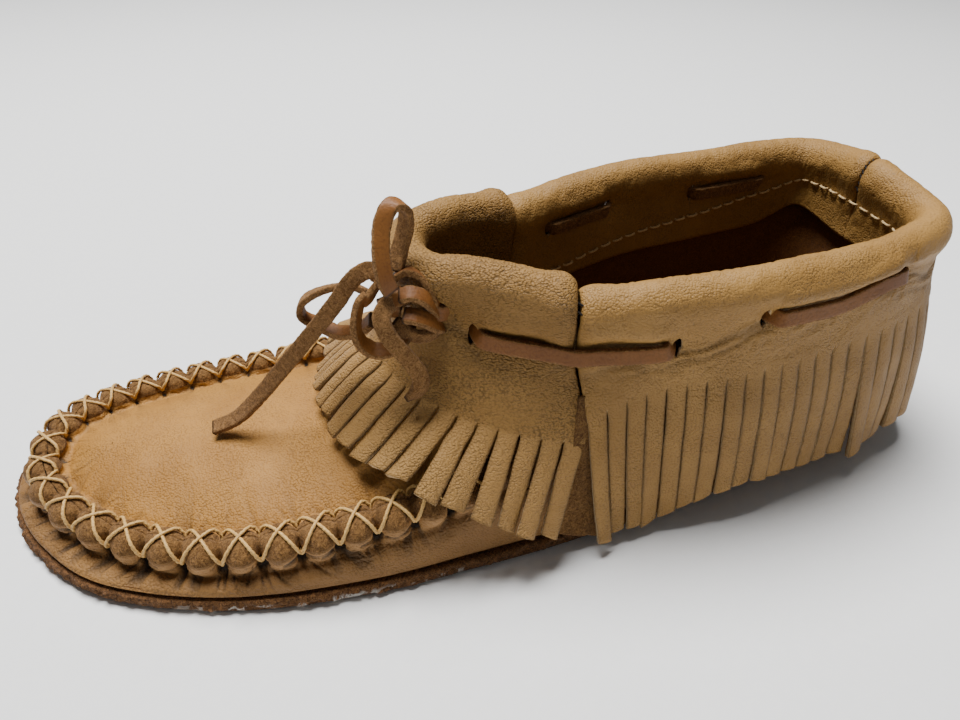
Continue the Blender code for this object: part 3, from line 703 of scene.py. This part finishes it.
def plug_control(ridge, out, centre, share, lobe):
    """Control points of each station: the ridge's inner half, then the plug's face up to its centre line."""
    flat = 0 * lobe

    def ridge_point(offset, rise):
        return off_line(ridge, out, offset * (1 - 0.45 * share ** 4), rise)

    control = [
        ridge_point(-0.15 + flat, -1.3 + 1.6 * lobe),
        ridge_point(-0.6 - 1.5 * lobe, -1.5 + 1.6 * lobe),
        ridge_point(-0.9 - 2.5 * lobe, -2.0 + 1.2 * lobe),
        ridge_point(-1.2 - 2.9 * lobe, -2.8 + 0.6 * lobe),
        ridge_point(-2.3 - 2.1 * lobe, -3.4 + 0.1 * lobe),
        ridge_point(-4.6 - 0.3 * lobe, -3.7 + flat),
    ]
    foot = control[-1]
    for t in (0.9, 0.78, 0.62, 0.42, 0.2):
        control.append(np.stack([
            centre[:, 0] + (foot[:, 0] - centre[:, 0]) * t ** (1.2 + 2.8 * share),
            foot[:, 1] * t,
            centre[:, 1] + (foot[:, 2] - centre[:, 1]) * t ** 2.0,
        ], -1))
    control.append(np.stack([centre[:, 0], flat, centre[:, 1]], -1))
    return np.stack(control, 1)


def make_plug(paint):
    """The piece over the toes and instep, with the ridge's inner half round its edge."""
    whole = mirrored(laced_line(), (1,), True)
    middle = len(whole) // 2
    rows = np.arange((len(whole) - 1) * 40 + 1) / 40
    reach = reach_of(smooth(whole, rows))
    half = reach[-1] / 2
    d = np.linspace(0, half, round(half / 0.55))
    u = np.interp(d + half, reach, rows)
    ahead = smooth(whole, np.clip(u + 0.04, 0, len(whole) - 1))
    behind = smooth(whole, np.clip(u - 0.04, 0, len(whole) - 1))
    pitch = stitch_pitch()
    lobe, a, held = lobes(d, pitch)
    held = held[:, None]
    control = plug_control(smooth(whole, u), outward_of(ahead, behind), smooth(PLUG_CENTRE, u - middle),
                           (u - middle) / middle, lobe)
    counts = [3, 3, 4, 4, 4, 6, 7, 8, 9, 9, 8]
    rim = sum(counts[:3])
    side = across(control, counts)
    side[:, -1, 1] = 0.0
    far = side[:, ::-1].copy()
    far[..., 1] *= -1
    grid = place(np.concatenate([side, far[:, 1:]], 1))
    number = np.arange(grid.shape[1])
    inward = np.minimum(number, grid.shape[1] - 1 - number)
    up = normals(grid)
    # The first station lies folded along the centre line, so its normals are stated.
    up[0] = (0, 0, 1)
    up[0, :4], up[0, -4:] = up[1, :4], up[1, -4:]
    first_half = (number < grid.shape[1] / 2)[None, :, None]
    away = np.linalg.norm(grid - np.where(first_half, grid[:, :1], grid[:, -1:]), axis=-1)
    flat = step(0, 3, inward - rim)
    aa = np.broadcast_to(a[:, None], away.shape)
    hole = np.broadcast_to(np.round(d / pitch)[:, None] + 40 * (number > grid.shape[1] / 2), away.shape)
    b = away - PLUG_HOLE
    folds = creases(aa, b, hole, 0.55, 4.5, 41) * held * step(0, 0.8, b)
    pit = np.exp(-(aa / 0.7) ** 2 - (b / 0.8) ** 2) * held
    bump = lumps(grid, 24.0, 31, 2) * 0.7 * flat + lumps(grid, 4.0, 32) * 0.1 * flat
    bump = bump + folds - 0.7 * pit + lumps(grid, 1.1, 35, 2) * 0.28 * (inward < rim)
    grid = grid + up * bump[..., None]
    zones = np.zeros((grid.shape[0] - 1, grid.shape[1] - 1), int)
    zones[:, np.minimum(inward[:-1], inward[1:]) < rim] = 3
    # Painted shade along the plug's margin beside the ridge.
    edge = 0.8 * (1 - step(2.5, 5.5, away)) * (inward >= rim)
    shade = np.clip(0.95 * step(0.25, 0.8, pit) - 1.1 * folds + edge, 0, 1)
    made = build("plug_leather", [(grid, zones, {"shade": shade, "worn": 0.0})],
                 [paint[key] for key in ("plug", "flesh", "ridge", "ridge", "flesh", "ridge")])
    thicken(made, LEATHER)
    return finish_piece(made, "shoe", ["plug"])


# One pass of the ridge's cord: share of the pitch, outward offset and rise, from hole to hole.
OVER = [
    (0.0, 0.8, -5.7), (0.0, 2.6, -5.6), (0.03, 3.8, -4.7), (0.09, 4.5, -3.0), (0.2, 4.2, -0.9),
    (0.38, 2.3, 0.65), (0.6, -0.3, 0.95), (0.8, -2.5, 0.2), (0.93, -2.7, -1.2), (1.0, -2.2, -2.7),
    (1.0, -0.8, -3.2),
]
UNDER = [
    (0.0, -0.8, -3.2), (0.0, -2.1, -2.7), (0.07, -2.8, -1.1), (0.2, -2.5, -0.1), (0.42, -0.5, 0.5),
    (0.62, 1.9, 0.4), (0.8, 3.9, -0.7), (0.92, 4.4, -2.7), (0.98, 3.7, -4.6), (1.0, 2.6, -5.6),
    (1.0, 0.8, -5.7),
]


def make_lacing(paint):
    """Two passes of waxed cord that cross over the ridge between each pair of holes."""
    run = laced_run()
    pitch = stitch_pitch()
    start = run.length / 2 - STITCHES / 2 * pitch
    blocks = []
    for k in range(STITCHES):
        for number, path in enumerate((UNDER, OVER)):
            rows = np.array(path)
            s = start + (k + rows[:, 0]) * pitch
            jitter = 1 + 0.08 * lumps(np.array([[k * 3.1, number * 5.7, 0]]), 1.0, 51)[0]
            spots = run.beside(s, rows[:, 1] * jitter, run.at(s)[:, 2] + rows[:, 2])
            route = place(across(spots[None], [5] * (len(rows) - 1))[0])
            reach = reach3(route)
            dark = 1 - step(0.2, 0.8, np.minimum(reach, reach[-1] - reach) / 2.6)
            rings = cord_rings(route, 0.42, 10, 0.2, 2.2)
            values = np.concatenate([[1.0], dark, [1.0]])[:, None]
            blocks.append((rings, 0, {"shade": np.broadcast_to(values, rings.shape[:2])}))
    made = build("ridge_lacing", blocks, [paint["waxed"]])
    return finish_piece(made, "shoe", ["plug_lacing"])


# ---------------------------------------------------------------- cuffs

# How the cuffs hang: depths of swells and folds in millimetres, strands' width, the share of painted shade in
# the folds, and how much painted light makes the front strands' upturned faces paler.
FRONT_STYLE = dict(
    strand=FRONT_STRAND, width=0.92, taper=0.12, arch=0.55, grain="front", swell=0.35, end_swell=1.2,
    folds=0.32, dark=0.6, pale=0.45,
)
REAR_STYLE = dict(
    strand=REAR_STRAND, width=0.945, taper=0.0, arch=0.3, grain="rear", swell=0.35, end_swell=0.5,
    folds=0.4, dark=0.6, pale=0.0,
)


def front_run():
    return Run(mirrored(FRONT_CUFF, (1, 5, 8), True))


def rear_run():
    return Run(mirrored(REAR_CUFF, (1, 5, 8), False), behind=True)


def strand_centre(s, start, stop, wide):
    """The middle of the strand that s falls in."""
    pitch = (stop - start) / round((stop - start) / wide)
    return start + (int((s - start) / pitch) + 0.5) * pitch


def lace_slits(front, rear):
    """Where the lace passes a cuff, and its depth after that, along the front run and along the rear one."""
    middle, heel = front.length / 2, rear.length / 2
    ends = SEAM_GAP
    in_front = [(strand_centre(middle + s, ends, front.length - ends, FRONT_STRAND), level)
                for s, level in FRONT_SLITS]
    behind = [(strand_centre(s, ends, heel - ends, REAR_STRAND), level) for s, level in NEAR_SLITS]
    stop = rear.length - ends
    behind += [(strand_centre(rear.length - s, heel + ends, stop, REAR_STRAND), level)
               for s, level in FAR_SLITS]
    return in_front, behind


def layers_passed(slits, level):
    """For each slit, its place, whether the outer layer is cut there and whether the inner one is."""
    found = []
    for s, new in slits:
        found.append((s, "out" in (level, new), "in" in (level, new)))
        level = new
    return found


def lace_level(run, s):
    """Height of the lace's line along a run: low across the near seam, and high again at the near heel."""
    usual = run.at(s)[:, 2] - LACE_DROP
    if run.behind:
        sag = (1.5 + 2.6 * step(0, 24, s)) * (1 - step(26, 44, s))
        return usual - sag + 3.0 * step(62, 84, s) * (1 - step(88, 104, s))
    middle = run.length / 2
    return usual - 6.2 * step(middle + 14, middle + 24, s) + 2.8 * step(middle + 24, run.length, s)


def cuff_columns(run, s):
    """Control points up each column, from the strand's tip over the fold and down to the inner raw edge."""
    rows = run.at(s)
    crest = rows[:, 2]
    slit, tip = rows[:, 4:7], rows[:, 7:10]
    out = run.outward(s)
    out3 = np.concatenate([out, 0 * out[:, :1]], -1)
    lace_z = lace_level(run, s)
    columns = [tip, slit + (tip - slit) * 0.7 + out3 * 0.9, slit + (tip - slit) * 0.35 + out3, slit]
    columns.append(run.beside(s, ROLL + 0.1, lace_z - 0.9))
    columns.append(run.beside(s, ROLL + 0.1, lace_z + 0.9))
    fold = ((ROLL + 1.5, 5.4), (0.8 * ROLL, 1.35), (0, 0), (-0.8 * ROLL, 1.35), (-ROLL - 1.1, 5.6))
    for offset, drop in fold:
        columns.append(run.beside(s, offset, crest - drop))
    columns.append(run.beside(s, -ROLL + 0.3, crest - LACE_DROP - 0.9))
    columns.append(run.beside(s, -ROLL + 0.3, rows[:, 10]))
    return np.stack(columns, 1)


def wrinkles(s, v, length, width, turn, seed, sharp=0.6):
    """Long narrow folds, 0 on the swell and 1 in the fold; turn is their angle to the run in degrees."""
    c, n = math.cos(math.radians(turn)), math.sin(math.radians(turn))
    wander = 0.7 * lumps(np.stack([s / 6, v / 6, 0 * s + seed], -1), 1.0, seed + 1)
    p, q = (s * c + v * n) / length, (v * c - s * n) / width + wander
    ridge = 1 - np.abs(lumps(np.stack([p, q, 0 * p], -1), 1.0, seed))
    return step(sharp, 1.0, ridge)


def strand_patch(base, number, style):
    """A strand cut free below its slits: base is (across, rows) from the tip up, in the last's frame."""
    over, rows = base.shape[:2]
    seed = style["seed"]
    t = 1 - np.arange(rows) / (rows - 1)
    e = np.linspace(-1, 1, over)[:, None]
    draw = [lumps(np.array([[number * 1.37, k * 2.11, seed]]), 1.0, 71 + k)[0] for k in range(5)]
    side = unit(base[-1] - base[0])
    down = unit(np.gradient(base[over // 2], axis=0) * -1)
    face = unit(np.cross(side, -down))
    half = np.linalg.norm(base[-1] - base[0], axis=1) / 2
    width = half * style["width"] * (1 + 0.02 * draw[0]) * (1 - style["taper"] * t)
    free = step(0, 0.045, t)
    bend = (style["sway"] * draw[1] + style["lean"]) * (t ** 1.7)[None]
    wavy = 0.16 * lumps(np.stack([t * 5.0, 0 * t + number, 0 * t], -1), 1.0, seed + 3)
    shift = -e * ((half - width) * free)[None] + bend + (wavy * free)[None]
    lift = (style["lift"] * (0.55 + 0.75 * draw[2]) * t ** 1.6)[None]
    lift = lift - style["arch"] * free[None] * e ** 2 + 0.5 * draw[3] * e * t[None] ** 1.4
    reach = 0.9 * draw[4] * t[None] + 0.55 * draw[1] * e * t[None] ** 6
    if number in style["tips"]:
        aside, out, longer = style["tips"][number]
        shift = shift + (aside * t ** 2)[None]
        lift = lift + (out * t ** 2)[None]
        reach = reach + longer * t[None]
    moves = ((side, shift), (face, lift), (down, reach))
    return base + sum(way[None] * amount[..., None] for way, amount in moves)


def groove(s, height, spans, groove_at, groove_wide, swell_at, swell, layer):
    """The groove that the lace presses into a layer along these spans, and the swell above it."""
    bump = 0.0
    for a, b in spans:
        held = step(a, a + 5, s) * (1 - step(b - 5, b, s)) * layer
        bump = bump - 0.9 * held * np.exp(-((height - groove_at) / groove_wide) ** 2)
        bump = bump + swell * held * np.exp(-((height - swell_at) / 2.4) ** 2)
    return bump


def slit_puckers(s, height, outer, slits):
    """The dimple and the folds round each slit."""
    bump = 0.0
    for at, cut_outer, cut_inner in slits:
        layer = cut_outer * outer + cut_inner * (1 - outer)
        far = np.hypot(s - at, height * 0.9)
        turn = np.arctan2(height, s - at)
        fan = np.stack([np.cos(turn) * 3.2, np.sin(turn) * 3.2, far * 0.08], -1)
        fan = step(0.6, 0.98, 1 - np.abs(lumps(fan, 1.0, 91)))
        bump = bump - layer * 0.55 * fan * np.exp(-far / 6.0) * step(1.5, 3.5, far)
        bump = bump - layer * 0.9 * np.exp(-(far / 3.4) ** 2)
    return bump


def end_rolls(s, height, outer, start, stop, swell):
    """A swell beside each end of the cuff, drawn in at the seam itself."""
    bump = 0.0
    for end, sign in ((start, 1), (stop, -1)):
        near = (s - end) * sign
        roll = step(-9, -3, height) * step(-12, -6, np.where(outer, 0, height))
        bump = bump + (swell * np.exp(-((near - 3.5) / 3.4) ** 2) - 1.2 * np.exp(-near / 0.8)) * roll
        bump = bump - 0.35 * np.exp(-near / 0.7) * (1 - roll)
    return bump


def cuff_relief(grid, s, height, outer, start, stop, slits, style):
    """Depth along the outward normal of every fold, swell and groove, and the folds' share of dark."""
    seed = style["seed"]
    v = np.where(outer, height, 40 - height)
    below = step(-11, -3, height) * (1 - step(-1.5, 1.0, height)) * outer
    hanging = below * wrinkles(s, v, 8.0, 1.5, 4, seed + 2)
    bump = style["swell"] * lumps(np.stack([s / 13, v / 9, 0 * v], -1), 1.0, seed)
    bump = bump - style["folds"] * hanging
    bump = bump - 0.12 * outer * wrinkles(s, v, 4.0, 1.7, style["turn"], seed + 4)
    bump = bump - 0.16 * (1 - outer) * wrinkles(s, v, 5.0, 1.4, 80, seed + 5)
    bump = bump + groove(s, height, style["lace_out"], 0.3, 2.6, 4.8, 1.1, outer)
    bump = bump + groove(s, height, style["lace_in"], -0.2, 3.0, 5.0, 0.7, 1 - outer)
    bump = bump + slit_puckers(s, height, outer, slits)
    bump = bump + end_rolls(s, height, outer, start, stop, style["end_swell"])
    rows_up = np.arange(grid.shape[1])[None] - SLIT_ROW
    bump = np.where(rows_up < 0, 0.0, bump * step(0, 3, rows_up))
    return bump + 0.10 * lumps(grid, 2.2, seed + 7, 2), np.clip(0.5 * hanging, 0, 1) * style["dark"]


def cuff_body(grid, s, pitch, start, outer, lace_z, sides, slits, shade):
    """The cuff above its strands, split at the lace's slits, whose two edges are drawn apart."""
    cuts = {round((at - start) / pitch * ACROSS): layers for at, *layers in slits}
    edges = [0, *sorted(cuts), len(s) - 1]
    blocks = []
    for a, b in zip(edges, edges[1:]):
        part = grid[a:b + 1, SLIT_ROW:].copy()
        for at, sign in ((a, 1), (b, -1)):
            if at not in cuts:
                continue
            opened = cuts[at][0] * outer[0] + cuts[at][1] * ~outer[0]
            z = np.clip((grid[at, :, 2] - lace_z[at]) / 2.5, -1, 1)
            gape = (1.25 * opened * np.sqrt(1 - z ** 2))[SLIT_ROW:]
            away = np.abs(s[a:b + 1] - s[at])
            part += sides[a:b + 1, None] * (sign * np.exp(-away / 2.6)[:, None] * gape[None])[..., None]
        blocks.append((place(part), 0, {"shade": shade[a:b + 1, SLIT_ROW:], "worn": 0.0}))
    return blocks


def make_cuff(name, cad, run, start, stop, slits, style, paint):
    """One folded collar leather with its fringe, cut through where the lace passes."""
    count = round((stop - start) / style["strand"])
    pitch = (stop - start) / count
    s = start + np.arange(count * ACROSS + 1) * pitch / ACROSS
    grid = across(cuff_columns(run, s), COLUMN_STEPS)
    sides = run.outward(s)
    sides = np.stack([-sides[:, 1], sides[:, 0], 0 * s], -1)
    lace_z = lace_level(run, s)[:, None]
    outer = np.arange(grid.shape[1])[None] < CREST_ROW
    over_s = np.broadcast_to(s[:, None], grid.shape[:2])
    height = grid[..., 2] - lace_z
    bump, shade = cuff_relief(grid, over_s, height, outer, start, stop, slits, style)
    grid = grid + normals(grid) * bump[..., None]
    blocks = cuff_body(grid, s, pitch, start, outer, lace_z, sides, slits, shade)
    across_strand = np.abs(np.linspace(-1, 1, ACROSS + 1))[:, None]
    top = step(SLIT_ROW - 2.5, SLIT_ROW, np.arange(SLIT_ROW + 1))[None]
    for k in range(count):
        base = grid[k * ACROSS:(k + 1) * ACROSS + 1, :SLIT_ROW + 1]
        patch = strand_patch(base, k, style)
        # The front strands are painted paler as painted light on their upturned faces; the rear strands get
        # none.
        blocks.append((place(patch), 0, {"shade": 0.45 * across_strand ** 6 * (1 - top),
                                         "worn": style["pale"]}))
    made = build(name, blocks, [paint[style["grain"]], paint["flesh"], paint["cut"]])
    thicken(made, CUFF_LEATHER)
    return finish_piece(made, "shoe", [cad])


def make_cuffs(front, rear, paint):
    """The front cuff and the two rear ones, each with its own manner of hanging."""
    in_front, behind = lace_slits(front, rear)
    front_cuts = [(s, True, False) for s, _ in in_front]
    rear_cuts = layers_passed(behind, "out")
    heel, ends = rear.length / 2, SEAM_GAP
    slit = [s for s, _ in in_front]
    back = [s for s, _ in behind]
    # Each cuff's tips: strand number, then how far its tip goes aside, outward and longer.
    make_cuff("front_cuff_leather", "front_cuff", front, ends, front.length - ends, front_cuts, dict(
        FRONT_STYLE, seed=101, turn=30, sway=0.9, lean=-0.5, lift=1.7,
        tips={31: (-0.6, 0.6, 0.4), 32: (-0.8, 1.2, 0.2), 24: (-1.2, 1.6, 0.5)},
        lace_out=[(slit[1], front.length), (0, slit[2])], lace_in=[]), paint)
    make_cuff("near_cuff_leather", "near_cuff", rear, ends, heel - ends,
              [cut for cut in rear_cuts if cut[0] < heel], dict(
        REAR_STYLE, seed=131, turn=12, sway=0.35, lean=0.25, lift=0.7,
        tips={0: (-0.8, 1.2, 0.8), 15: (1.4, 1.6, 1.4)},
        lace_out=[(0, back[0]), (back[1], back[2])], lace_in=[(back[0], back[1])]), paint)
    make_cuff("far_cuff_leather", "far_cuff", rear, heel + ends, rear.length - ends,
              [cut for cut in rear_cuts if cut[0] > heel], dict(
        REAR_STYLE, seed=161, turn=-12, sway=0.5, lean=0.0, lift=0.9, tips={},
        lace_out=[(back[4], back[5]), (back[6], rear.length)],
        lace_in=[(back[3], back[4]), (back[5], back[6])]), paint)


# ---------------------------------------------------------------- stitching

def make_hem_stitches(front, rear, paint):
    """The running stitch that shows inside the collar, a little above the inner layer's raw edge."""
    blocks = []
    for run in (front, rear):
        count = round(run.length / 4.6)
        for k in range(count):
            s = run.length * (k + np.array([0.16, 0.2, 0.34, 0.5, 0.66, 0.8, 0.84])) / count
            offset = -ROLL - np.array([-0.8, 0.05, 0.28, 0.34, 0.28, 0.05, -0.8])
            drift = 0.25 * lumps(np.array([[k * 1.7, run.length, 0]]), 1.0, 61)[0]
            points = run.beside(s, offset, run.at(s)[:, 3] + drift)
            route = place(across(points[None], [4] * 6)[0])
            blocks.append((cord_rings(route, 0.34, 8, 0.12, 2.5), 0, {"shade": 0.0}))
    made = build("hem_running_stitch", blocks, [paint["hem"]])
    return finish_piece(made, "shoe", ["hem_thread"])


def on_roll(run, s, turn):
    """A point on the fold: turn is degrees outward from its crest, and past 90 it goes down the side."""
    held = min(max(s, 0.0), run.length)
    out = run.outward(held)
    angle = math.radians(max(-90.0, min(90.0, turn)))
    fall = max(abs(turn) - 90, 0) * 0.09
    z = run.at(held)[2] - 5.2 + 5.3 * math.cos(angle) - fall
    spot = run.beside(held, (ROLL + 0.9) * math.sin(angle), z)
    return spot + np.array([-out[1], out[0], 0]) * (s - held)


def make_seam_stitches(name, cad, run, s, turns, slant, paint):
    """Short whip stitches that draw two cuffs' ends together."""
    blocks = []
    heart = run.at(s)[:3] - (0, 0, 5)
    for turn in turns:
        left, right = on_roll(run, s - 0.8, turn - slant), on_roll(run, s + 0.8, turn + slant)
        points = [(left, 0.35), (left, 0.12), ((left + right) / 2, 0.14), (right, 0.12), (right, 0.35)]
        points = [point + (heart - point) * share for point, share in points]
        route = place(across(np.array(points)[None], [4] * 4)[0])
        blocks.append((cord_rings(route, 0.24, 8, 0.1, 2.0), 0, {"shade": 0.0}))
    made = build(name, blocks, [paint["dark"]])
    return finish_piece(made, "shoe", [cad])


# ---------------------------------------------------------------- lace

def thong_blocks(route, facing, seed, wide=LACE_WIDE, thick=LACE_THICK):
    """A flat thong along a route in millimetres: grain on the facing side, fibrous flesh elsewhere."""
    tangent = unit(np.gradient(route, axis=0))
    side = unit(np.cross(facing, tangent))
    up = np.cross(tangent, side)
    w, t, r = wide / 2, thick / 2, 0.35
    flat = np.linspace(-w + r, w - r, 7)
    ring = [(x, t) for x in flat]
    ring += [(w - 0.1, t - 0.1), (w, t - r), (w, 0), (w, r - t), (w - 0.1, 0.1 - t)]
    ring += [(-x, -t) for x in flat]
    ring += [(0.1 - w, 0.1 - t), (-w, r - t), (-w, 0), (-w, t - r), (0.1 - w, t - 0.1)]
    rings = ring_sweep(route, side, up, np.array(ring))
    centre = route[:, None]
    out = unit(rings - centre)
    rough = lumps(rings, 0.55, seed, 2) * 0.14 + lumps(rings, 1.8, seed + 1) * 0.06
    fibrous = np.ones(len(ring))
    fibrous[1:6] = 0.12
    rings = rings + out * (rough * fibrous)[..., None]
    zones = np.ones(len(ring), int)
    zones[:6] = 0
    grid = capped(rings)
    zone = np.broadcast_to(zones[None], (grid.shape[0] - 1, len(ring))).copy()
    zone[0] = zone[-1] = 1
    shade = np.zeros(grid.shape[:2])
    shade[:3] = shade[-3:] = 0.75
    return (grid, zone, {"shade": shade, "worn": 0.0})


def along_route(table, every=0.35):
    """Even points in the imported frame's millimetres, and facings, along a table of points and facings."""
    table = np.array(table, float)
    rows = smooth(table, np.arange((len(table) - 1) * 24 + 1) / 24)
    spots = place(rows[:, :3])
    reach = reach3(spots)
    s = np.linspace(0, reach[-1], max(round(reach[-1] / every), 4))
    return (np.stack([np.interp(s, reach, column) for column in spots.T], -1),
            np.stack([np.interp(s, reach, column) for column in rows[:, 3:].T], -1))


def held_level(s, slits, level):
    """The lace's offset from the fold's line at s, as it passes in and out through the slits."""
    levels = {"out": ROLL + 1.2, "cavity": 0.2, "in": -ROLL - 0.75}
    offset = levels[level] + 0 * s
    for at, new in slits:
        # It crosses the outer layer just past the slit, except on its way into the collar.
        low, high = (2.9, 0.9) if new == "in" else (0.9, 2.9)
        offset = offset + (levels[new] - levels[level]) * step(at - low, at + high, s)
        level = new
    return offset


def held_sag(run, s, in_front, behind):
    """How far the lace hangs below its slits, from the near front slit to the first one behind the seam."""
    if run.behind:
        share = (behind[0][0] - s) / (2 * behind[0][0])
    else:
        share = (s - in_front[1][0]) / (2 * (run.length - in_front[1][0]))
    return 1.4 * np.sin(math.pi * np.clip(share, 0, 1))


def held_route(front, rear):
    """The lace from the near front hole round through every slit and back round the front to the knot."""
    in_front, behind = lace_slits(front, rear)
    rows, faces = [], []
    for run, slits, start, stop in (
            (front, in_front[:2], in_front[0][0] - 2.5, front.length),
            (rear, behind, 0.0, rear.length),
            (front, in_front[2:], 0.0, front.length / 2 + 7.0)):
        s = np.arange(start, stop, 0.5)
        offset = held_level(s, slits, "out")
        rows.append(run.beside(s, offset, lace_level(run, s) + 0.1 - held_sag(run, s, in_front, behind)))
        out = run.outward(s)
        faces.append(np.concatenate([out, 0 * out[:, :1] + 0.18], -1))
    return np.vstack(rows), np.vstack(faces)


def make_held_lace(front, rear, paint):
    """The part of the lace that the cuffs hold, with its bends smoothed a little."""
    rows, faces = held_route(front, rear)
    spots = place(rows)
    for _ in range(3):
        spots[1:-1] = (spots[:-2] + 2 * spots[1:-1] + spots[2:]) / 4
    made = build("lace_held", [thong_blocks(spots, faces, 201)], [paint["thong"], paint["thong_flesh"]])
    return finish_piece(made, "shoe", ["lace"])


def make_knot(paint):
    """The knot's crossing bands and the two turns under them."""
    blocks = []
    for number, table in enumerate(KNOT_BANDS):
        route, facing = along_route(table)
        blocks.append(thong_blocks(route, facing, 211 + 3 * number, LACE_WIDE - 0.2))
    turn = np.linspace(0, 2 * math.pi, 48)
    for number, (a, b) in enumerate(KNOT_TURNS):
        a, b = unit(np.array(a)), unit(np.array(b))
        ring = np.cos(turn)[:, None] * a * 3.1 + np.sin(turn)[:, None] * b * 2.9
        blocks.append(thong_blocks(place(ring + KNOT), unit(ring), 231 + number, LACE_WIDE - 0.6, 1.3))
    made = build("lace_knot_bands", blocks, [paint["thong"], paint["thong_flesh"]])
    return finish_piece(made, "shoe", ["lace_knot"])


def make_lace_end(name, cad, body, table, seed, paint):
    """One loop or tail of the bow, as a free cord that leaves the knot."""
    route, facing = along_route(table)
    made = build(name, [thong_blocks(route, facing, seed)], [paint["thong"], paint["thong_flesh"]])
    finish_piece(made, body, [cad])
    return made


def make_side_flap(paint):
    """The quarter's suede wedge that shows between the front fringe and the near one."""
    top = np.array([(17.4, -33.4, 44), (20.6, -33.4, 44)])
    bottom = np.array([(11.5, -41.0, 7.0), (25.0, -42.0, 2.8)])
    u, v = np.linspace(0, 1, 26)[:, None, None], np.linspace(0, 1, 60)[None, :, None]
    spread = top[0] * (1 - v) + bottom[0] * v
    grid = spread * (1 - u) + (top[1] * (1 - v) + bottom[1] * v) * u
    grid = grid[:, ::-1]
    droop = np.linspace(1, 0, 60)[None]
    grid = grid + np.array([0, -1.0, 0]) * (np.sin(droop * math.pi) * 0.9)[..., None]
    grid = grid + np.array([0, -1.0, 0.2]) * (lumps(grid, 5.0, 301, 2) * 0.8 * droop)[..., None]
    ragged = lumps(grid, 1.6, 302, 2) * 0.5 * droop ** 6
    grid = grid + np.array([0.2, 0, 1.0]) * ragged[..., None]
    shade = np.broadcast_to(0.35 * (1 - droop), grid.shape[:2])
    made = build("side_flap", [(place(grid), 0, {"shade": shade})],
                 [paint["ridge"], paint["flesh"], paint["ridge"]])
    thicken(made, CUFF_LEATHER)
    return finish_piece(made, "shoe")


# ---------------------------------------------------------------- studio

def make_floor():
    """A pale, plain sweep of floor."""
    bpy.ops.mesh.primitive_plane_add(size=8, location=(0, 0, 0))
    floor = bpy.context.object
    floor.name = "studio_floor"
    made, tree, shader, where = material("studio_floor", 0.85, 0.2)
    mottle = noise(tree, where, 3.0, 2.0)
    colour = colour_mix(tree, mottle, (0.86, 0.86, 0.85), (0.90, 0.90, 0.89))
    tree.links.new(colour, shader.inputs["Base Color"])
    floor.data.materials.append(made)


def make_light(name, at, size, watts):
    """A round soft light that faces the shoe."""
    data = bpy.data.lights.new(name, "AREA")
    data.shape = "DISK"
    data.size = size
    data.energy = watts
    light = bpy.data.objects.new(name, data)
    bpy.context.scene.collection.objects.link(light)
    light.location = at
    light.rotation_euler = (Vector(LIGHTS_AIM) - Vector(at)).to_track_quat("-Z", "Y").to_euler()


def make_studio():
    make_floor()
    make_light("overhead_softbox", (-0.10, 0.30, 1.15), 0.7, 34)
    make_light("front_fill", (-0.6, -1.3, 0.8), 0.9, 0.3)
    world = bpy.data.worlds.new("studio")
    world.use_nodes = True
    background = world.node_tree.nodes["Background"]
    background.inputs["Color"].default_value = (0.95, 0.97, 1.0, 1)
    background.inputs["Strength"].default_value = 0.12
    bpy.context.scene.world = world


def make_camera():
    """The camera looks along a pan from +Y towards +X, tilted down and a little rolled."""
    pan, tilt, roll = (math.radians(v) for v in (CAMERA_PAN, CAMERA_TILT, CAMERA_ROLL))
    ahead = Vector((math.sin(pan) * math.cos(tilt), math.cos(pan) * math.cos(tilt), -math.sin(tilt)))
    level = Vector((math.cos(pan), -math.sin(pan), 0))
    above = level.cross(ahead)
    right = level * math.cos(roll) + above * math.sin(roll)
    upward = above * math.cos(roll) - level * math.sin(roll)
    data = bpy.data.cameras.new("camera")
    data.lens = CAMERA_LENS
    data.sensor_width = 36
    camera = bpy.data.objects.new("camera", data)
    turn = Matrix((right, upward, -ahead)).transposed().to_4x4()
    camera.matrix_world = Matrix.Translation(Vector((np.array(CAMERA_AT) - SHIFT) * MM)) @ turn
    bpy.context.scene.collection.objects.link(camera)
    bpy.context.scene.camera = camera


paint = paints()
make_camera()
make_studio()
make_outsole(paint)
make_bottom(paint)
make_plug(paint)
make_lacing(paint)
front, rear = front_run(), rear_run()
make_cuffs(front, rear, paint)
make_hem_stitches(front, rear, paint)
make_seam_stitches("near_seam_stitches", "near_seam_thread", rear, 0.0, (40, 66), 6, paint)
make_seam_stitches("far_seam_stitches", "far_seam_thread", rear, rear.length, (-35, 50), 6, paint)
make_seam_stitches("heel_seam_stitches", "heel_seam_thread", rear, rear.length / 2,
                   (-14, -34, -52, -70, -88, -112, -136, 30, 60, 90), 6, paint)
make_side_flap(paint)
make_held_lace(front, rear, paint)
make_knot(paint)
make_lace_end("tall_loop", "lace_tall_loop", "shoe", TALL_LOOP, 241, paint)
make_lace_end("left_loop", "lace_left_loop", "shoe", LEFT_LOOP, 251, paint)
make_lace_end("low_loop", "lace_low_loop", "shoe", LOW_LOOP, 261, paint)
make_lace_end("long_tail_thong", "lace_long_tail", "long_tail", LONG_TAIL, 271, paint)
make_lace_end("short_tail_thong", "lace_short_tail", "short_tail", SHORT_TAIL, 281, paint)
